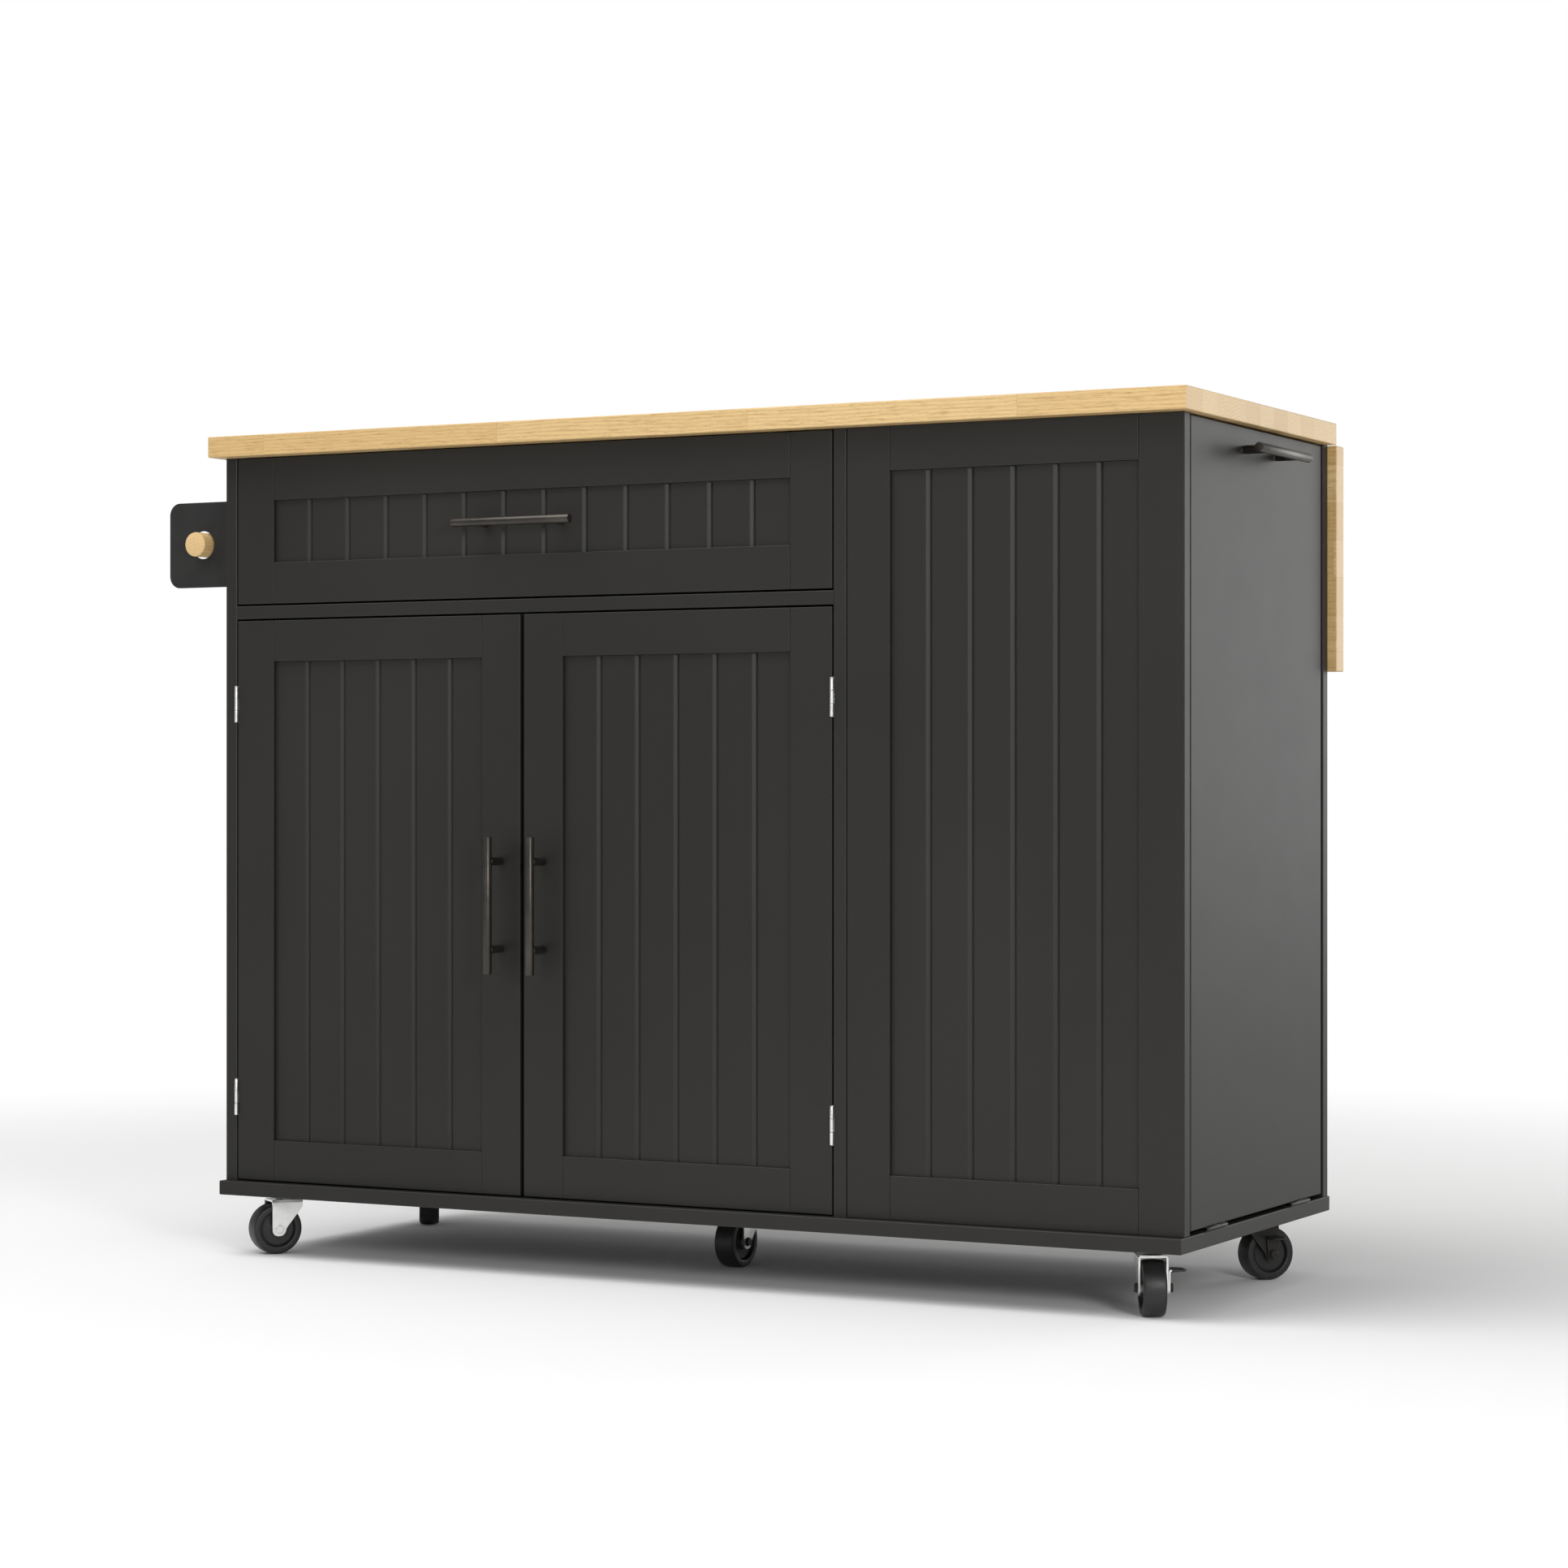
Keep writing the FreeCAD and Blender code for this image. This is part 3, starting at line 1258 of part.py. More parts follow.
def make_caster_plate(place):
    """Mounting plate, upper race and headed kingpin."""
    x, y = CASTERS[place]
    half = S.caster_plate / 2
    plate = new_box("plate_" + place, x - half, x + half, y - half, y + half, plate_bottom, S.caster_height)
    plate = ease("plate_" + place, plate, S.caster_plate_corner, lambda edge: runs_along(edge, "z"))
    race_low = S.fork_top + S.swivel_play
    race = new_pin("race_" + place, "z", x, y, race_low, S.race_diameter / 2, plate_bottom - race_low,
                   S.bar_sides)
    head_top = S.fork_top - S.fork_sheet - S.swivel_play
    head_low = head_top - S.kingpin_head_height
    pin = new_pin("kingpin_" + place, "z", x, y, head_low, S.kingpin / 2, plate_bottom - head_low)
    head = new_pin("kinghead_" + place, "z", x, y, head_low, S.kingpin_head / 2, S.kingpin_head_height)
    return new_fuse("caster_plate_" + place, [plate, race, pin, head])


def make_bolt(name, hand, nut_start):
    """The axle: a bolt with a hexagon head and nut, and the spacers that centre the wheel."""
    trail = S.wheel_trail
    head_start = fork_outer + S.bolt_head_height
    low, high = (-head_start, nut_start) if hand > 0 else (-nut_start, head_start)
    pieces = [new_pin(name + "_rod", "y", trail, low, wheel_radius, S.axle / 2, high - low, place=stand_at)]
    for number, start in enumerate((low, high - S.bolt_head_height)):
        pieces.append(new_pin("%s_hex%d" % (name, number), "y", trail, start, wheel_radius, S.bolt_head / 2,
                              S.bolt_head_height, HEXAGON, stand_at))
    for number, start in enumerate((-fork_inner, spacer_face)):
        pieces.append(new_pin("%s_spacer%d" % (name, number), "y", trail, start, wheel_radius, S.spacer / 2,
                              fork_inner - spacer_face, place=stand_at))
    return pieces


def make_fork(place, braked):
    """A bent-sheet fork with tapered legs, and the axle bolt with its hexagon ends."""
    name = "fork_" + place
    trail, tip, top = S.wheel_trail, S.fork_tip, S.fork_top
    body = new_body(name)
    side = new_sketch(body, "XZ_Plane", name + "_side")
    low = wheel_radius - tip
    draw_polygon(side, [(-S.fork_lead, top), (trail + tip, top), (trail + tip, low), (trail - tip, low),
                        (trail - tip, wheel_radius), (-S.fork_lead, top - tip)])
    new_pad(body, side, 2 * fork_outer, middle=True)

    def tip_corner(edge):
        return runs_along(edge, "y") and abs(edge.CenterOfMass.z - low.value) < NEAR

    def top_bend(edge):
        return runs_along(edge, "x") and abs(edge.CenterOfMass.z - top.value) < NEAR

    new_edge_feature(body, "PartDesign::Fillet", "Radius", S.fork_tip_round, tip_corner)
    new_edge_feature(body, "PartDesign::Fillet", "Radius", S.fork_bend, top_bend)
    slot = new_sketch(body, "YZ_Plane", name + "_slot", -S.fork_lead - S.overshoot)
    under = top - S.fork_sheet
    draw_polygon(slot, [(-fork_inner, 0), (fork_inner, 0), (fork_inner, under), (-fork_inner, under)])
    new_pocket(body, slot, S.fork_lead + trail + tip + 2 * S.overshoot, reverse=True)
    eye = new_pin(name + "_eye", "z", 0, 0, under - S.overshoot, clear_of(S.kingpin / 2 + S.axle_fit),
                  S.fork_sheet + 2 * S.overshoot, place=stand_at)

    nut_start = fork_outer + S.bolt_head_height + (S.lever_sheet + 2 * S.lever_play if braked else 0)
    bolt = make_bolt(name, -1 if braked < 0 else 1, nut_start)
    legs = new_cut(name + "_legs", body, [eye])
    node = group("caster_%s_fork" % place, [new_fuse(name + "_solid", [legs] + bolt)])
    turn_and_place(node, place)


def make_wheel(place):
    """A moulded wheel: a bevelled tread and sides recessed within the rim."""
    name = "wheel_" + place
    half = S.wheel_width / 2
    tyre = new_pin(name + "_tyre", "y", S.wheel_trail, -half, wheel_radius, wheel_radius, S.wheel_width,
                   S.wheel_sides, stand_at)
    tyre = ease(name, tyre, S.tread_bevel, lambda edge: not runs_along(edge, "y"))
    tools = [new_pin(name + "_bore", "y", S.wheel_trail, -half, wheel_radius, clear_of(wheel_bore),
                     S.wheel_width, place=stand_at)]
    for number, start in enumerate((-half - S.overshoot, dish_face)):
        tools.append(new_pin("%s_dish%d" % (name, number), "y", S.wheel_trail, start, wheel_radius,
                             S.dish_diameter / 2, S.dish_depth + S.overshoot, S.bar_sides, stand_at))
    node = group("caster_%s_wheel" % place, [new_cut(name, tyre, tools)])
    turn_and_place(node, place)


def make_brake(place, hand):
    """A side lever on the axle bolt, with a foot tab bent out over the leg's outer face."""
    name = "lever_" + place
    trail = S.wheel_trail
    near = fork_outer + S.lever_play
    far = near + S.lever_sheet
    root, spread = S.lever_root, S.lever_spread
    body = new_body(name)
    plate = new_sketch(body, "XZ_Plane", name + "_plate", near if hand < 0 else -far)
    z = wheel_radius
    top = z + S.lever_rise
    draw_polygon(plate, [(trail - root, z - root), (trail + root, z - root),
                         (trail + spread, top - S.lever_sheet), (trail + spread, top),
                         (trail - spread, top), (trail - spread, top - S.lever_sheet)])
    new_pad(body, plate, S.lever_sheet)
    tab = new_sketch(body, "XY_Plane", name + "_tab", top - S.lever_sheet)
    reach0, reach1 = (near, far + S.lever_tab) if hand > 0 else (-far - S.lever_tab, -near)
    draw_polygon(tab, [(trail - spread, reach0), (trail + spread, reach0),
                       (trail + spread, reach1), (trail - spread, reach1)])
    new_pad(body, tab, S.lever_sheet)
    bore = new_pin(name + "_bore", "y", trail, near - S.overshoot if hand > 0 else -far - S.overshoot, z,
                   clear_of(wheel_bore), S.lever_sheet + 2 * S.overshoot, place=stand_at)
    node = group("caster_%s_brake" % place, [new_cut(name + "_bored", body, [bore])])
    turn_and_place(node, place)


BRAKES = {"front_right": 1, "rear_right": -1}
group("caster_plates", [make_caster_plate(place) for place in CASTERS])
for place in CASTERS:
    make_fork(place, BRAKES.get(place, 0))
    make_wheel(place)
for place, hand in BRAKES.items():
    make_brake(place, hand)


# Check every object and write one file for each sub-part

doc.recompute()
failed = [item.Label for item in doc.Objects if "Invalid" in item.State or "Error" in item.State]
for item in nodes:
    if item.Shape.isNull() or not item.Shape.isValid() or item.Shape.Volume <= 0:
        failed.append(item.Label + " (shape)")
if failed:
    raise RuntimeError("These pieces failed: " + ", ".join(failed))
os.makedirs("parts", exist_ok=True)
for item in nodes:
    item.Shape.exportStep("parts/" + item.Label + ".step")
print(len(nodes), "sub-parts written")
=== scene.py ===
import math

import bmesh
import bpy
from mathutils import Matrix, Vector


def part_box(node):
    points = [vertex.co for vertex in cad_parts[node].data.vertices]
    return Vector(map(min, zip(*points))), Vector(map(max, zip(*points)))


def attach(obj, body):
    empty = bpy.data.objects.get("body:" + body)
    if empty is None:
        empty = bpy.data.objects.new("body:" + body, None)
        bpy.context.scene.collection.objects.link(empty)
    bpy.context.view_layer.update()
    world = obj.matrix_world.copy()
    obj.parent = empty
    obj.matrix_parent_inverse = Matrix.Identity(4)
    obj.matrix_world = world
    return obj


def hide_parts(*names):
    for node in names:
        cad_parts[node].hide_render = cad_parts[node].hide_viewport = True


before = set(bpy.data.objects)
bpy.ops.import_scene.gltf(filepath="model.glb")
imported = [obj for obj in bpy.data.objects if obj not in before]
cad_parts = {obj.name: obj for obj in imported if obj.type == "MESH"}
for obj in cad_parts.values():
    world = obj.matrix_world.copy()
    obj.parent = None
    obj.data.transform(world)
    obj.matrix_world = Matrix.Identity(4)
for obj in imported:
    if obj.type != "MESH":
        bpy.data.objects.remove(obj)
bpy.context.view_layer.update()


# Cabinet boards: left side, centre post, rear post, base, back, rails and shelf. They are fibreboard,
# sawn square with the edges eased, sprayed a satin charcoal, and pulled together with dowels and cams.

class Reading:
    """A number that varies over a surface. A sum on it adds a Math node."""

    def __init__(self, nodes, socket):
        self.nodes = nodes
        self.socket = socket

    def __add__(self, other):
        return self.nodes.sum("ADD", self, other)

    def __radd__(self, other):
        return self.nodes.sum("ADD", other, self)

    def __sub__(self, other):
        return self.nodes.sum("SUBTRACT", self, other)

    def __rsub__(self, other):
        return self.nodes.sum("SUBTRACT", other, self)

    def __mul__(self, other):
        return self.nodes.sum("MULTIPLY", self, other)

    def __rmul__(self, other):
        return self.nodes.sum("MULTIPLY", other, self)

    def __truediv__(self, other):
        return self.nodes.sum("DIVIDE", self, other)


class Nodes:
    """A node tree that grows by one call for each node."""

    def __init__(self, tree):
        self.tree = tree

    def node(self, kind, settings=None, values=None):
        made = self.tree.nodes.new(kind)
        for name, setting in (settings or {}).items():
            setattr(made, name, setting)
        for name, value in (values or {}).items():
            source = value.socket if isinstance(value, Reading) else value
            if isinstance(source, bpy.types.NodeSocket):
                self.tree.links.new(source, made.inputs[name])
            else:
                made.inputs[name].default_value = source
        return made

    def sum(self, operation, *values):
        made = self.node("ShaderNodeMath", {"operation": operation}, dict(enumerate(values)))
        return Reading(self, made.outputs[0])

    def split(self, vector):
        made = self.node("ShaderNodeSeparateXYZ", None, {0: vector})
        return [Reading(self, socket) for socket in made.outputs]

    def join(self, x, y, z):
        return self.node("ShaderNodeCombineXYZ", None, {0: x, 1: y, 2: z}).outputs[0]


class Finish(Nodes):
    """One surface finish, as a material that is laid on the pieces."""

    def __init__(self, name):
        self.material = bpy.data.materials.new(name)
        self.material.use_nodes = True
        super().__init__(self.material.node_tree)
        self.tree.nodes.clear()
        place = self.node("ShaderNodeTexCoord")
        self.place = place.outputs["Object"]
        self.facing = place.outputs["Normal"]

    def stretched(self, x, y, z):
        """Places on the piece, with each axis multiplied."""
        made = self.node("ShaderNodeVectorMath", {"operation": "MULTIPLY"}, {0: self.place, 1: (x, y, z)})
        return made.outputs[0]

    def mottle(self, place, scale, detail, roughness=0.5):
        """Soft random tones, 0 to 1."""
        made = self.node("ShaderNodeTexNoise", {"noise_dimensions": "3D"},
                         {"Vector": place, "Scale": scale, "Detail": detail, "Roughness": roughness})
        return Reading(self, made.outputs[0])

    def between(self, value, low, high):
        """0 below low, 1 above high, and a smooth step between."""
        made = self.node("ShaderNodeMapRange", {"interpolation_type": "SMOOTHSTEP"},
                         {"Value": value, "From Min": low, "From Max": high})
        return Reading(self, made.outputs[0])

    def edges(self, reach):
        """1 on edges and corners that stick out, 0 on flats, over a reach in metres."""
        bent = self.node("ShaderNodeBevel", {"samples": 4}, {"Radius": reach}).outputs[0]
        true = self.node("ShaderNodeNewGeometry").outputs["Normal"]
        dot = self.node("ShaderNodeVectorMath", {"operation": "DOT_PRODUCT"}, {0: bent, 1: true})
        return self.between(1.0 - Reading(self, dot.outputs["Value"]), 0.01, 0.16)

    def blend(self, first, second, share):
        made = self.node("ShaderNodeMix", {"data_type": "RGBA"}, {0: share, 6: first, 7: second})
        return made.outputs[2]

    def lay(self, colour, roughness, height, depth, metallic=0.0, specular=0.5, coat=0.0):
        """Join colour, roughness and relief to the surface; depth is the relief's height in metres."""
        bump = self.node("ShaderNodeBump", None, {"Strength": 1.0, "Distance": depth, "Height": height})
        surface = self.node("ShaderNodeBsdfPrincipled", None,
                            {"Base Color": colour, "Roughness": roughness, "Metallic": metallic,
                             "Specular IOR Level": specular, "Coat Weight": coat, "Coat Roughness": 0.12,
                             "Normal": bump.outputs[0]})
        self.node("ShaderNodeOutputMaterial", None, {"Surface": surface.outputs[0]})
        return self


def chip(red, green, blue):
    """A colour as a screen shows it, 0 to 255, as the light values that a shader takes."""
    levels = [level / 255 for level in (red, green, blue)]
    return [v / 12.92 if v <= 0.04045 else ((v + 0.055) / 1.055) ** 2.4 for v in levels] + [1.0]


def satin_paint():
    paint = Finish("satin_charcoal_paint")
    drift = paint.mottle(paint.place, 2.3, 2.0)
    handled = paint.mottle(paint.place, 21.0, 4.0, 0.6)
    peel = paint.mottle(paint.place, 520.0, 2.0)
    fleck = paint.mottle(paint.place, 1900.0, 1.0)
    edge = paint.edges(0.0011) * paint.between(handled, 0.25, 0.75)
    colour = paint.blend(chip(33, 32, 30), chip(39, 38, 35), paint.between(drift, 0.3, 0.7))
    colour = paint.blend(colour, chip(50, 48, 45), paint.between(fleck, 0.66, 0.8) * 0.25)
    colour = paint.blend(colour, chip(98, 95, 89), edge * 0.55)
    rough = 0.43 + 0.04 * handled + 0.04 * peel - 0.08 * edge
    return paint.lay(colour, rough, peel * 0.7 + fleck * 0.3, 0.00006, specular=0.32)


def finished(bm, name, rounding=0.0, steps=2, metres=False):
    """A finished mesh from a bmesh drawn in millimetres: faces outwards, sharp edges rounded over."""
    sharp = math.radians(32)
    if not metres:
        bmesh.ops.recalc_face_normals(bm, faces=bm.faces)
        bmesh.ops.scale(bm, vec=(0.001, 0.001, 0.001), verts=bm.verts)
    for face in bm.faces:
        face.smooth = True
    for edge in bm.edges:
        if len(edge.link_faces) == 2:
            edge.smooth = edge.calc_face_angle(0.0) < sharp
    mesh = bpy.data.meshes.new(name)
    bm.to_mesh(mesh)
    bm.free()
    if not rounding:
        return mesh
    raw = bpy.data.objects.new(name + "_raw", mesh)
    bpy.context.scene.collection.objects.link(raw)
    bevel = raw.modifiers.new("rounding", "BEVEL")
    bevel.width = rounding / 1000
    bevel.segments = steps
    bevel.limit_method = "ANGLE"
    bevel.angle_limit = sharp
    bevel.harden_normals = True
    shape = bpy.data.meshes.new_from_object(raw.evaluated_get(bpy.context.evaluated_depsgraph_get()))
    bpy.data.objects.remove(raw)
    shape.name = name
    return shape


def stand(name, mesh, finish, body, slot, *nodes):
    """Put a finished piece on its body, in the place of the CAD nodes that it stands for."""
    mesh.materials.clear()
    mesh.materials.append(finish.material)
    piece = bpy.data.objects.new(name, mesh)
    bpy.context.scene.collection.objects.link(piece)
    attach(piece, body)
    if nodes:
        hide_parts(*nodes)


def eased(node, rounding):
    """The node's own shape with its loose triangles joined up and its edges rounded over."""
    bm = bmesh.new()
    bm.from_mesh(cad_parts[node].data)
    bmesh.ops.remove_doubles(bm, verts=bm.verts, dist=2e-6)
    bmesh.ops.dissolve_limit(bm, angle_limit=math.radians(0.6), verts=bm.verts, edges=bm.edges)
    return finished(bm, node + "_shape", rounding, metres=True)


def dress(finish, *nodes):
    for node in nodes:
        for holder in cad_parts[node].material_slots:
            holder.material = finish.material


paint = satin_paint()
for node in ("side_panel_left", "partition_panel", "rear_post", "base_board", "divider_rail"):
    stand(node + "_painted", eased(node, 0.35), paint, "cabinet", "cabinet_paint", node)
dress(paint, "back_panel", "rear_rails", "top_rail_front", "shelf")


# Beadboard fronts: two stiles and two rails lapped at the corners round a thinner panel whose face is
# routed with a row of V-grooves, so that it reads as planks. All fibreboard, sprayed with the rest.

def board(bm, x0, x1, y0, y1, z0, z1):
    """A square-edged board between two corners."""
    low = [bm.verts.new(corner) for corner in ((x0, y0, z0), (x1, y0, z0), (x1, y1, z0), (x0, y1, z0))]
    high = [bm.verts.new((v.co.x, v.co.y, z1)) for v in low]
    bm.faces.new(low[::-1])
    bm.faces.new(high)
    for here in range(4):
        after = (here + 1) % 4
        bm.faces.new((low[here], low[after], high[after], high[here]))


class Pattern(Nodes):
    """A Geometry Nodes tree with named inputs, whose result becomes a plain mesh."""

    def __init__(self, name, inputs):
        super().__init__(bpy.data.node_groups.new(name, "GeometryNodeTree"))
        self.tree.interface.new_socket("Geometry", in_out="OUTPUT", socket_type="NodeSocketGeometry")
        for label, kind in inputs.items():
            self.tree.interface.new_socket(label, in_out="INPUT", socket_type="NodeSocket" + kind)
        self.given = self.node("NodeGroupInput").outputs

    def size(self, label):
        return Reading(self, self.given[label])

    def end(self, shape, finish):
        single = self.node("GeometryNodeRealizeInstances", None, {0: shape})
        coated = self.node("GeometryNodeSetMaterial", None, {0: single.outputs[0], "Material": finish.material})
        self.node("NodeGroupOutput", None, {0: coated.outputs[0]})
        return self

    def grown(self, name, sizes, start=None):
        """The mesh that the tree makes from these sizes, starting from a mesh of points if it needs one."""
        seed = bpy.data.objects.new(name + "_seed", start or bpy.data.meshes.new(name + "_seed"))
        bpy.context.scene.collection.objects.link(seed)
        modifier = seed.modifiers.new(name, "NODES")
        modifier.node_group = self.tree
        for item in self.tree.interface.items_tree:
            if item.in_out == "INPUT" and item.name in sizes:
                modifier[item.identifier] = sizes[item.name]
        shape = bpy.data.meshes.new_from_object(seed.evaluated_get(bpy.context.evaluated_depsgraph_get()))
        seed.modifiers.remove(modifier)
        bpy.data.objects.remove(seed)
        shape.name = name
        return shape


def plank_pattern():
    """A panel whose face dips into a row of V-grooves with softened shoulders, centred on its width."""
    planks = Pattern("beadboard_planks", {
        "Width": "Float", "Height": "Float", "Thickness": "Float", "Pitch": "Float", "Grooves": "Float",
        "Groove Width": "Float", "Groove Depth": "Float", "Steps": "Int"})
    flat = planks.node("GeometryNodeMeshGrid", None, {
        "Size X": planks.size("Width"), "Size Y": planks.size("Height"),
        "Vertices X": planks.size("Steps"), "Vertices Y": 2})
    raised = planks.node("GeometryNodeTransform", None, {0: flat.outputs[0], "Rotation": (math.pi / 2, 0, 0)})
    here = planks.node("GeometryNodeInputPosition").outputs[0]
    x, _, z = planks.split(here)
    last = planks.size("Grooves") - 1.0
    count = x / planks.size("Pitch") + last / 2.0
    nearest = planks.sum("MINIMUM", planks.sum("MAXIMUM", planks.sum("ROUND", count), 0.0), last)
    away = planks.sum("ABSOLUTE", count - nearest) * planks.size("Pitch")
    vee = planks.size("Groove Depth") * (1.0 - away / (planks.size("Groove Width") / 2.0))
    shoulder = planks.sum("SMOOTH_MAX", vee, 0.0, 0.0009)
    dip = planks.sum("SMOOTH_MIN", shoulder, planks.size("Groove Depth") * 0.92, 0.0004)
    face = planks.node("GeometryNodeSetPosition", None, {0: raised.outputs[0], "Offset": planks.join(0.0, dip, 0.0)})
    body = planks.node("GeometryNodeExtrudeMesh", None, {
        0: face.outputs[0], "Offset": planks.join(0.0, 1.0, 0.0), "Offset Scale": planks.size("Thickness"),
        "Individual": False})
    back = planks.node("GeometryNodeSetPosition", None, {
        0: body.outputs["Mesh"], "Selection": body.outputs["Top"],
        "Position": planks.join(x, planks.size("Thickness"), z)})
    turned_out = planks.node("GeometryNodeFlipFaces", None, {0: back.outputs[0]})
    both = planks.node("GeometryNodeJoinGeometry")
    planks.tree.links.new(face.outputs[0], both.inputs[0])
    planks.tree.links.new(turned_out.outputs[0], both.inputs[0])
    welded = planks.node("GeometryNodeMergeByDistance", None, {0: both.outputs[0], "Distance": 0.00001})
    soft = planks.node("GeometryNodeSetShadeSmooth", {"domain": "FACE"}, {0: welded.outputs[0]})
    bend = planks.node("GeometryNodeInputMeshEdgeAngle").outputs["Unsigned Angle"]
    gentle = planks.node("FunctionNodeCompare", {"operation": "LESS_THAN"}, {"A": bend, "B": 0.5})
    crisp = planks.node("GeometryNodeSetShadeSmooth", {"domain": "EDGE"},
                        {0: soft.outputs[0], "Shade Smooth": gentle.outputs[0]})
    return planks.end(crisp.outputs[0], paint)


planks = plank_pattern()


def beadboard_front(front, body, low_rail, high_rail, pitch, grooves):
    """The frame and the grooved panel of one front, sized from its CAD nodes."""
    stile, seam, groove_width, groove_depth, mesh_step = 49.5, 0.2, 7.75, 3.1, 0.45
    (x0, y0, z0), (x1, y1, z1) = (corner * 1000 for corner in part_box(front + "_frame"))
    bm = bmesh.new()
    board(bm, x0, x0 + stile, y0, y1, z0, z1)
    board(bm, x1 - stile, x1, y0, y1, z0, z1)
    board(bm, x0 + stile + seam, x1 - stile - seam, y0, y1, z0, z0 + low_rail)
    board(bm, x0 + stile + seam, x1 - stile - seam, y0, y1, z1 - high_rail, z1)
    stand(front + "_frame_painted", finished(bm, front + "_frame_boards", 0.9, 3), paint, body, "cabinet_paint",
          front + "_frame")
    near, far = (corner * 1000 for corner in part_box(front + "_beadboard"))
    width, height = x1 - x0 - 2 * (stile + seam), z1 - z0 - low_rail - high_rail - 2 * seam
    panel = planks.grown(front + "_planks", {
        "Width": width / 1000, "Height": height / 1000, "Thickness": (far.y - near.y) / 1000,
        "Pitch": pitch / 1000, "Grooves": float(grooves), "Groove Width": groove_width / 1000,
        "Groove Depth": groove_depth / 1000, "Steps": int(width / mesh_step)})
    centre = Vector(((x0 + x1) / 2, near.y, (z0 + low_rail + z1 - high_rail) / 2)) / 1000
    panel.transform(Matrix.Translation(centre))
    stand(front + "_planks", panel, paint, body, "cabinet_paint", front + "_beadboard")


tall = {"low_rail": 46.2, "high_rail": 46.6, "pitch": 47.7, "grooves": 5}
beadboard_front("fixed_front", "cabinet", **tall)
beadboard_front("drawer", "drawer", low_rail=46.8, high_rail=48.4, pitch=51.57, grooves=12)
beadboard_front("door_left", "door_left", **tall)
beadboard_front("door_right", "door_right", **tall)


# Bar handles: a round steel bar with lightly chamfered ends on two turned posts, all in satin dark
# bronze. Screws from behind the front pull the posts tight. One is upright on each door.

def turned(bm, profile, matrix, steps, closed=False):
    """Turn (radius, height) points about Z, then place them; a closed profile goes round to its start."""
    rings = []
    for radius, height in profile:
        count = steps if radius > 1e-6 else 1
        angles = [2 * math.pi * k / count for k in range(count)]
        rings.append([bm.verts.new(matrix @ Vector((radius * math.cos(a), radius * math.sin(a), height)))
                      for a in angles])
    pairs = list(zip(rings, rings[1:]))
    if closed:
        pairs.append((rings[-1], rings[0]))
    for low, high in pairs:
        for k in range(steps):
            after = (k + 1) % steps
            corners = [low[k % len(low)], low[after % len(low)], high[after % len(high)], high[k % len(high)]]
            bm.faces.new(list(dict.fromkeys(corners)))


def along(axis, start):
    """The placing that lays a turned piece's Z along an axis from a start point, in millimetres."""
    turn = Vector((0, 0, 1)).rotation_difference(Vector(axis)).to_matrix().to_4x4()
    return Matrix.Translation(Vector(start)) @ turn


def bronze():
    metal = Finish("satin_dark_bronze")
    streak = metal.mottle(metal.stretched(240, 240, 240), 6.0, 3.0, 0.6)
    cloud = metal.mottle(metal.place, 38.0, 4.0, 0.6)
    grain = metal.mottle(metal.place, 2600.0, 2.0)
    edge = metal.edges(0.0009)
    colour = metal.blend(chip(65, 62, 59), chip(79, 75, 70), metal.between(cloud, 0.35, 0.7))
    colour = metal.blend(colour, chip(46, 44, 41), metal.between(streak, 0.55, 0.75) * 0.35)
    # Chamfers and rims take a paler bronze: a painted highlight.
    colour = metal.blend(colour, chip(120, 114, 106), edge * 0.4)
    rough = 0.27 + 0.10 * cloud + 0.05 * grain - 0.05 * edge
    return metal.lay(colour, rough, grain, 0.00002, metallic=0.82)


bronze_finish = bronze()


def bar_handle(name, node, body, place):
    """A bar along its own Z on two posts that stand on the plane Y = 0."""
    radius, half, reach, spacing, post = 5.0, 75.0, 28.0, 96.0, 4.5
    bm = bmesh.new()
    turned(bm, [(0, -half), (radius - 1.0, -half), (radius - 0.25, -half + 0.25), (radius, -half + 0.8),
                (radius, half - 0.8), (radius - 0.25, half - 0.25), (radius - 1.0, half), (0, half)],
           place @ Matrix.Translation((0, -reach, 0)), 64)
    for side in (-1, 1):
        turned(bm, [(0, 0), (post, 0), (post, 0.4), (post - 0.35, 1.0), (post - 0.35, 2.2), (post, 2.8),
                    (post, reach - 3.2), (post - 1.2, reach - 1.8), (0, reach - 1.8)],
               place @ along((0, -1, 0), (0, 0, side * spacing / 2)), 48)
    stand(name, finished(bm, name + "_shape"), bronze_finish, body, "handle_metal", node)


door_face, door_handle_height = -208.25, 404.3
bar_handle("door_left_bar", "door_left_handle", "door_left",
           Matrix.Translation((-185.4, door_face, door_handle_height)))
bar_handle("door_right_bar", "door_right_handle", "door_right",
           Matrix.Translation((-131.4, door_face, door_handle_height)))
bar_handle("drawer_bar", "drawer_handle", "drawer",
           Matrix.Translation((-158.4, -203.75, 823.0)) @ Matrix.Rotation(math.pi / 2, 4, "Y"))
bar_handle("tilt_door_bar", "tilt_door_handle", "tilt_door",
           Matrix.Translation((615.1, 2.0, 882.0)) @ Matrix.Rotation(math.pi / 2, 4, "Z")
           @ Matrix.Rotation(math.pi / 2, 4, "Y"))


# Screws: steel countersunk heads with a cross recess. They hold hinges, brackets and plates, and are
# driven flush, so only the low crown of each head stands out of the sheet.

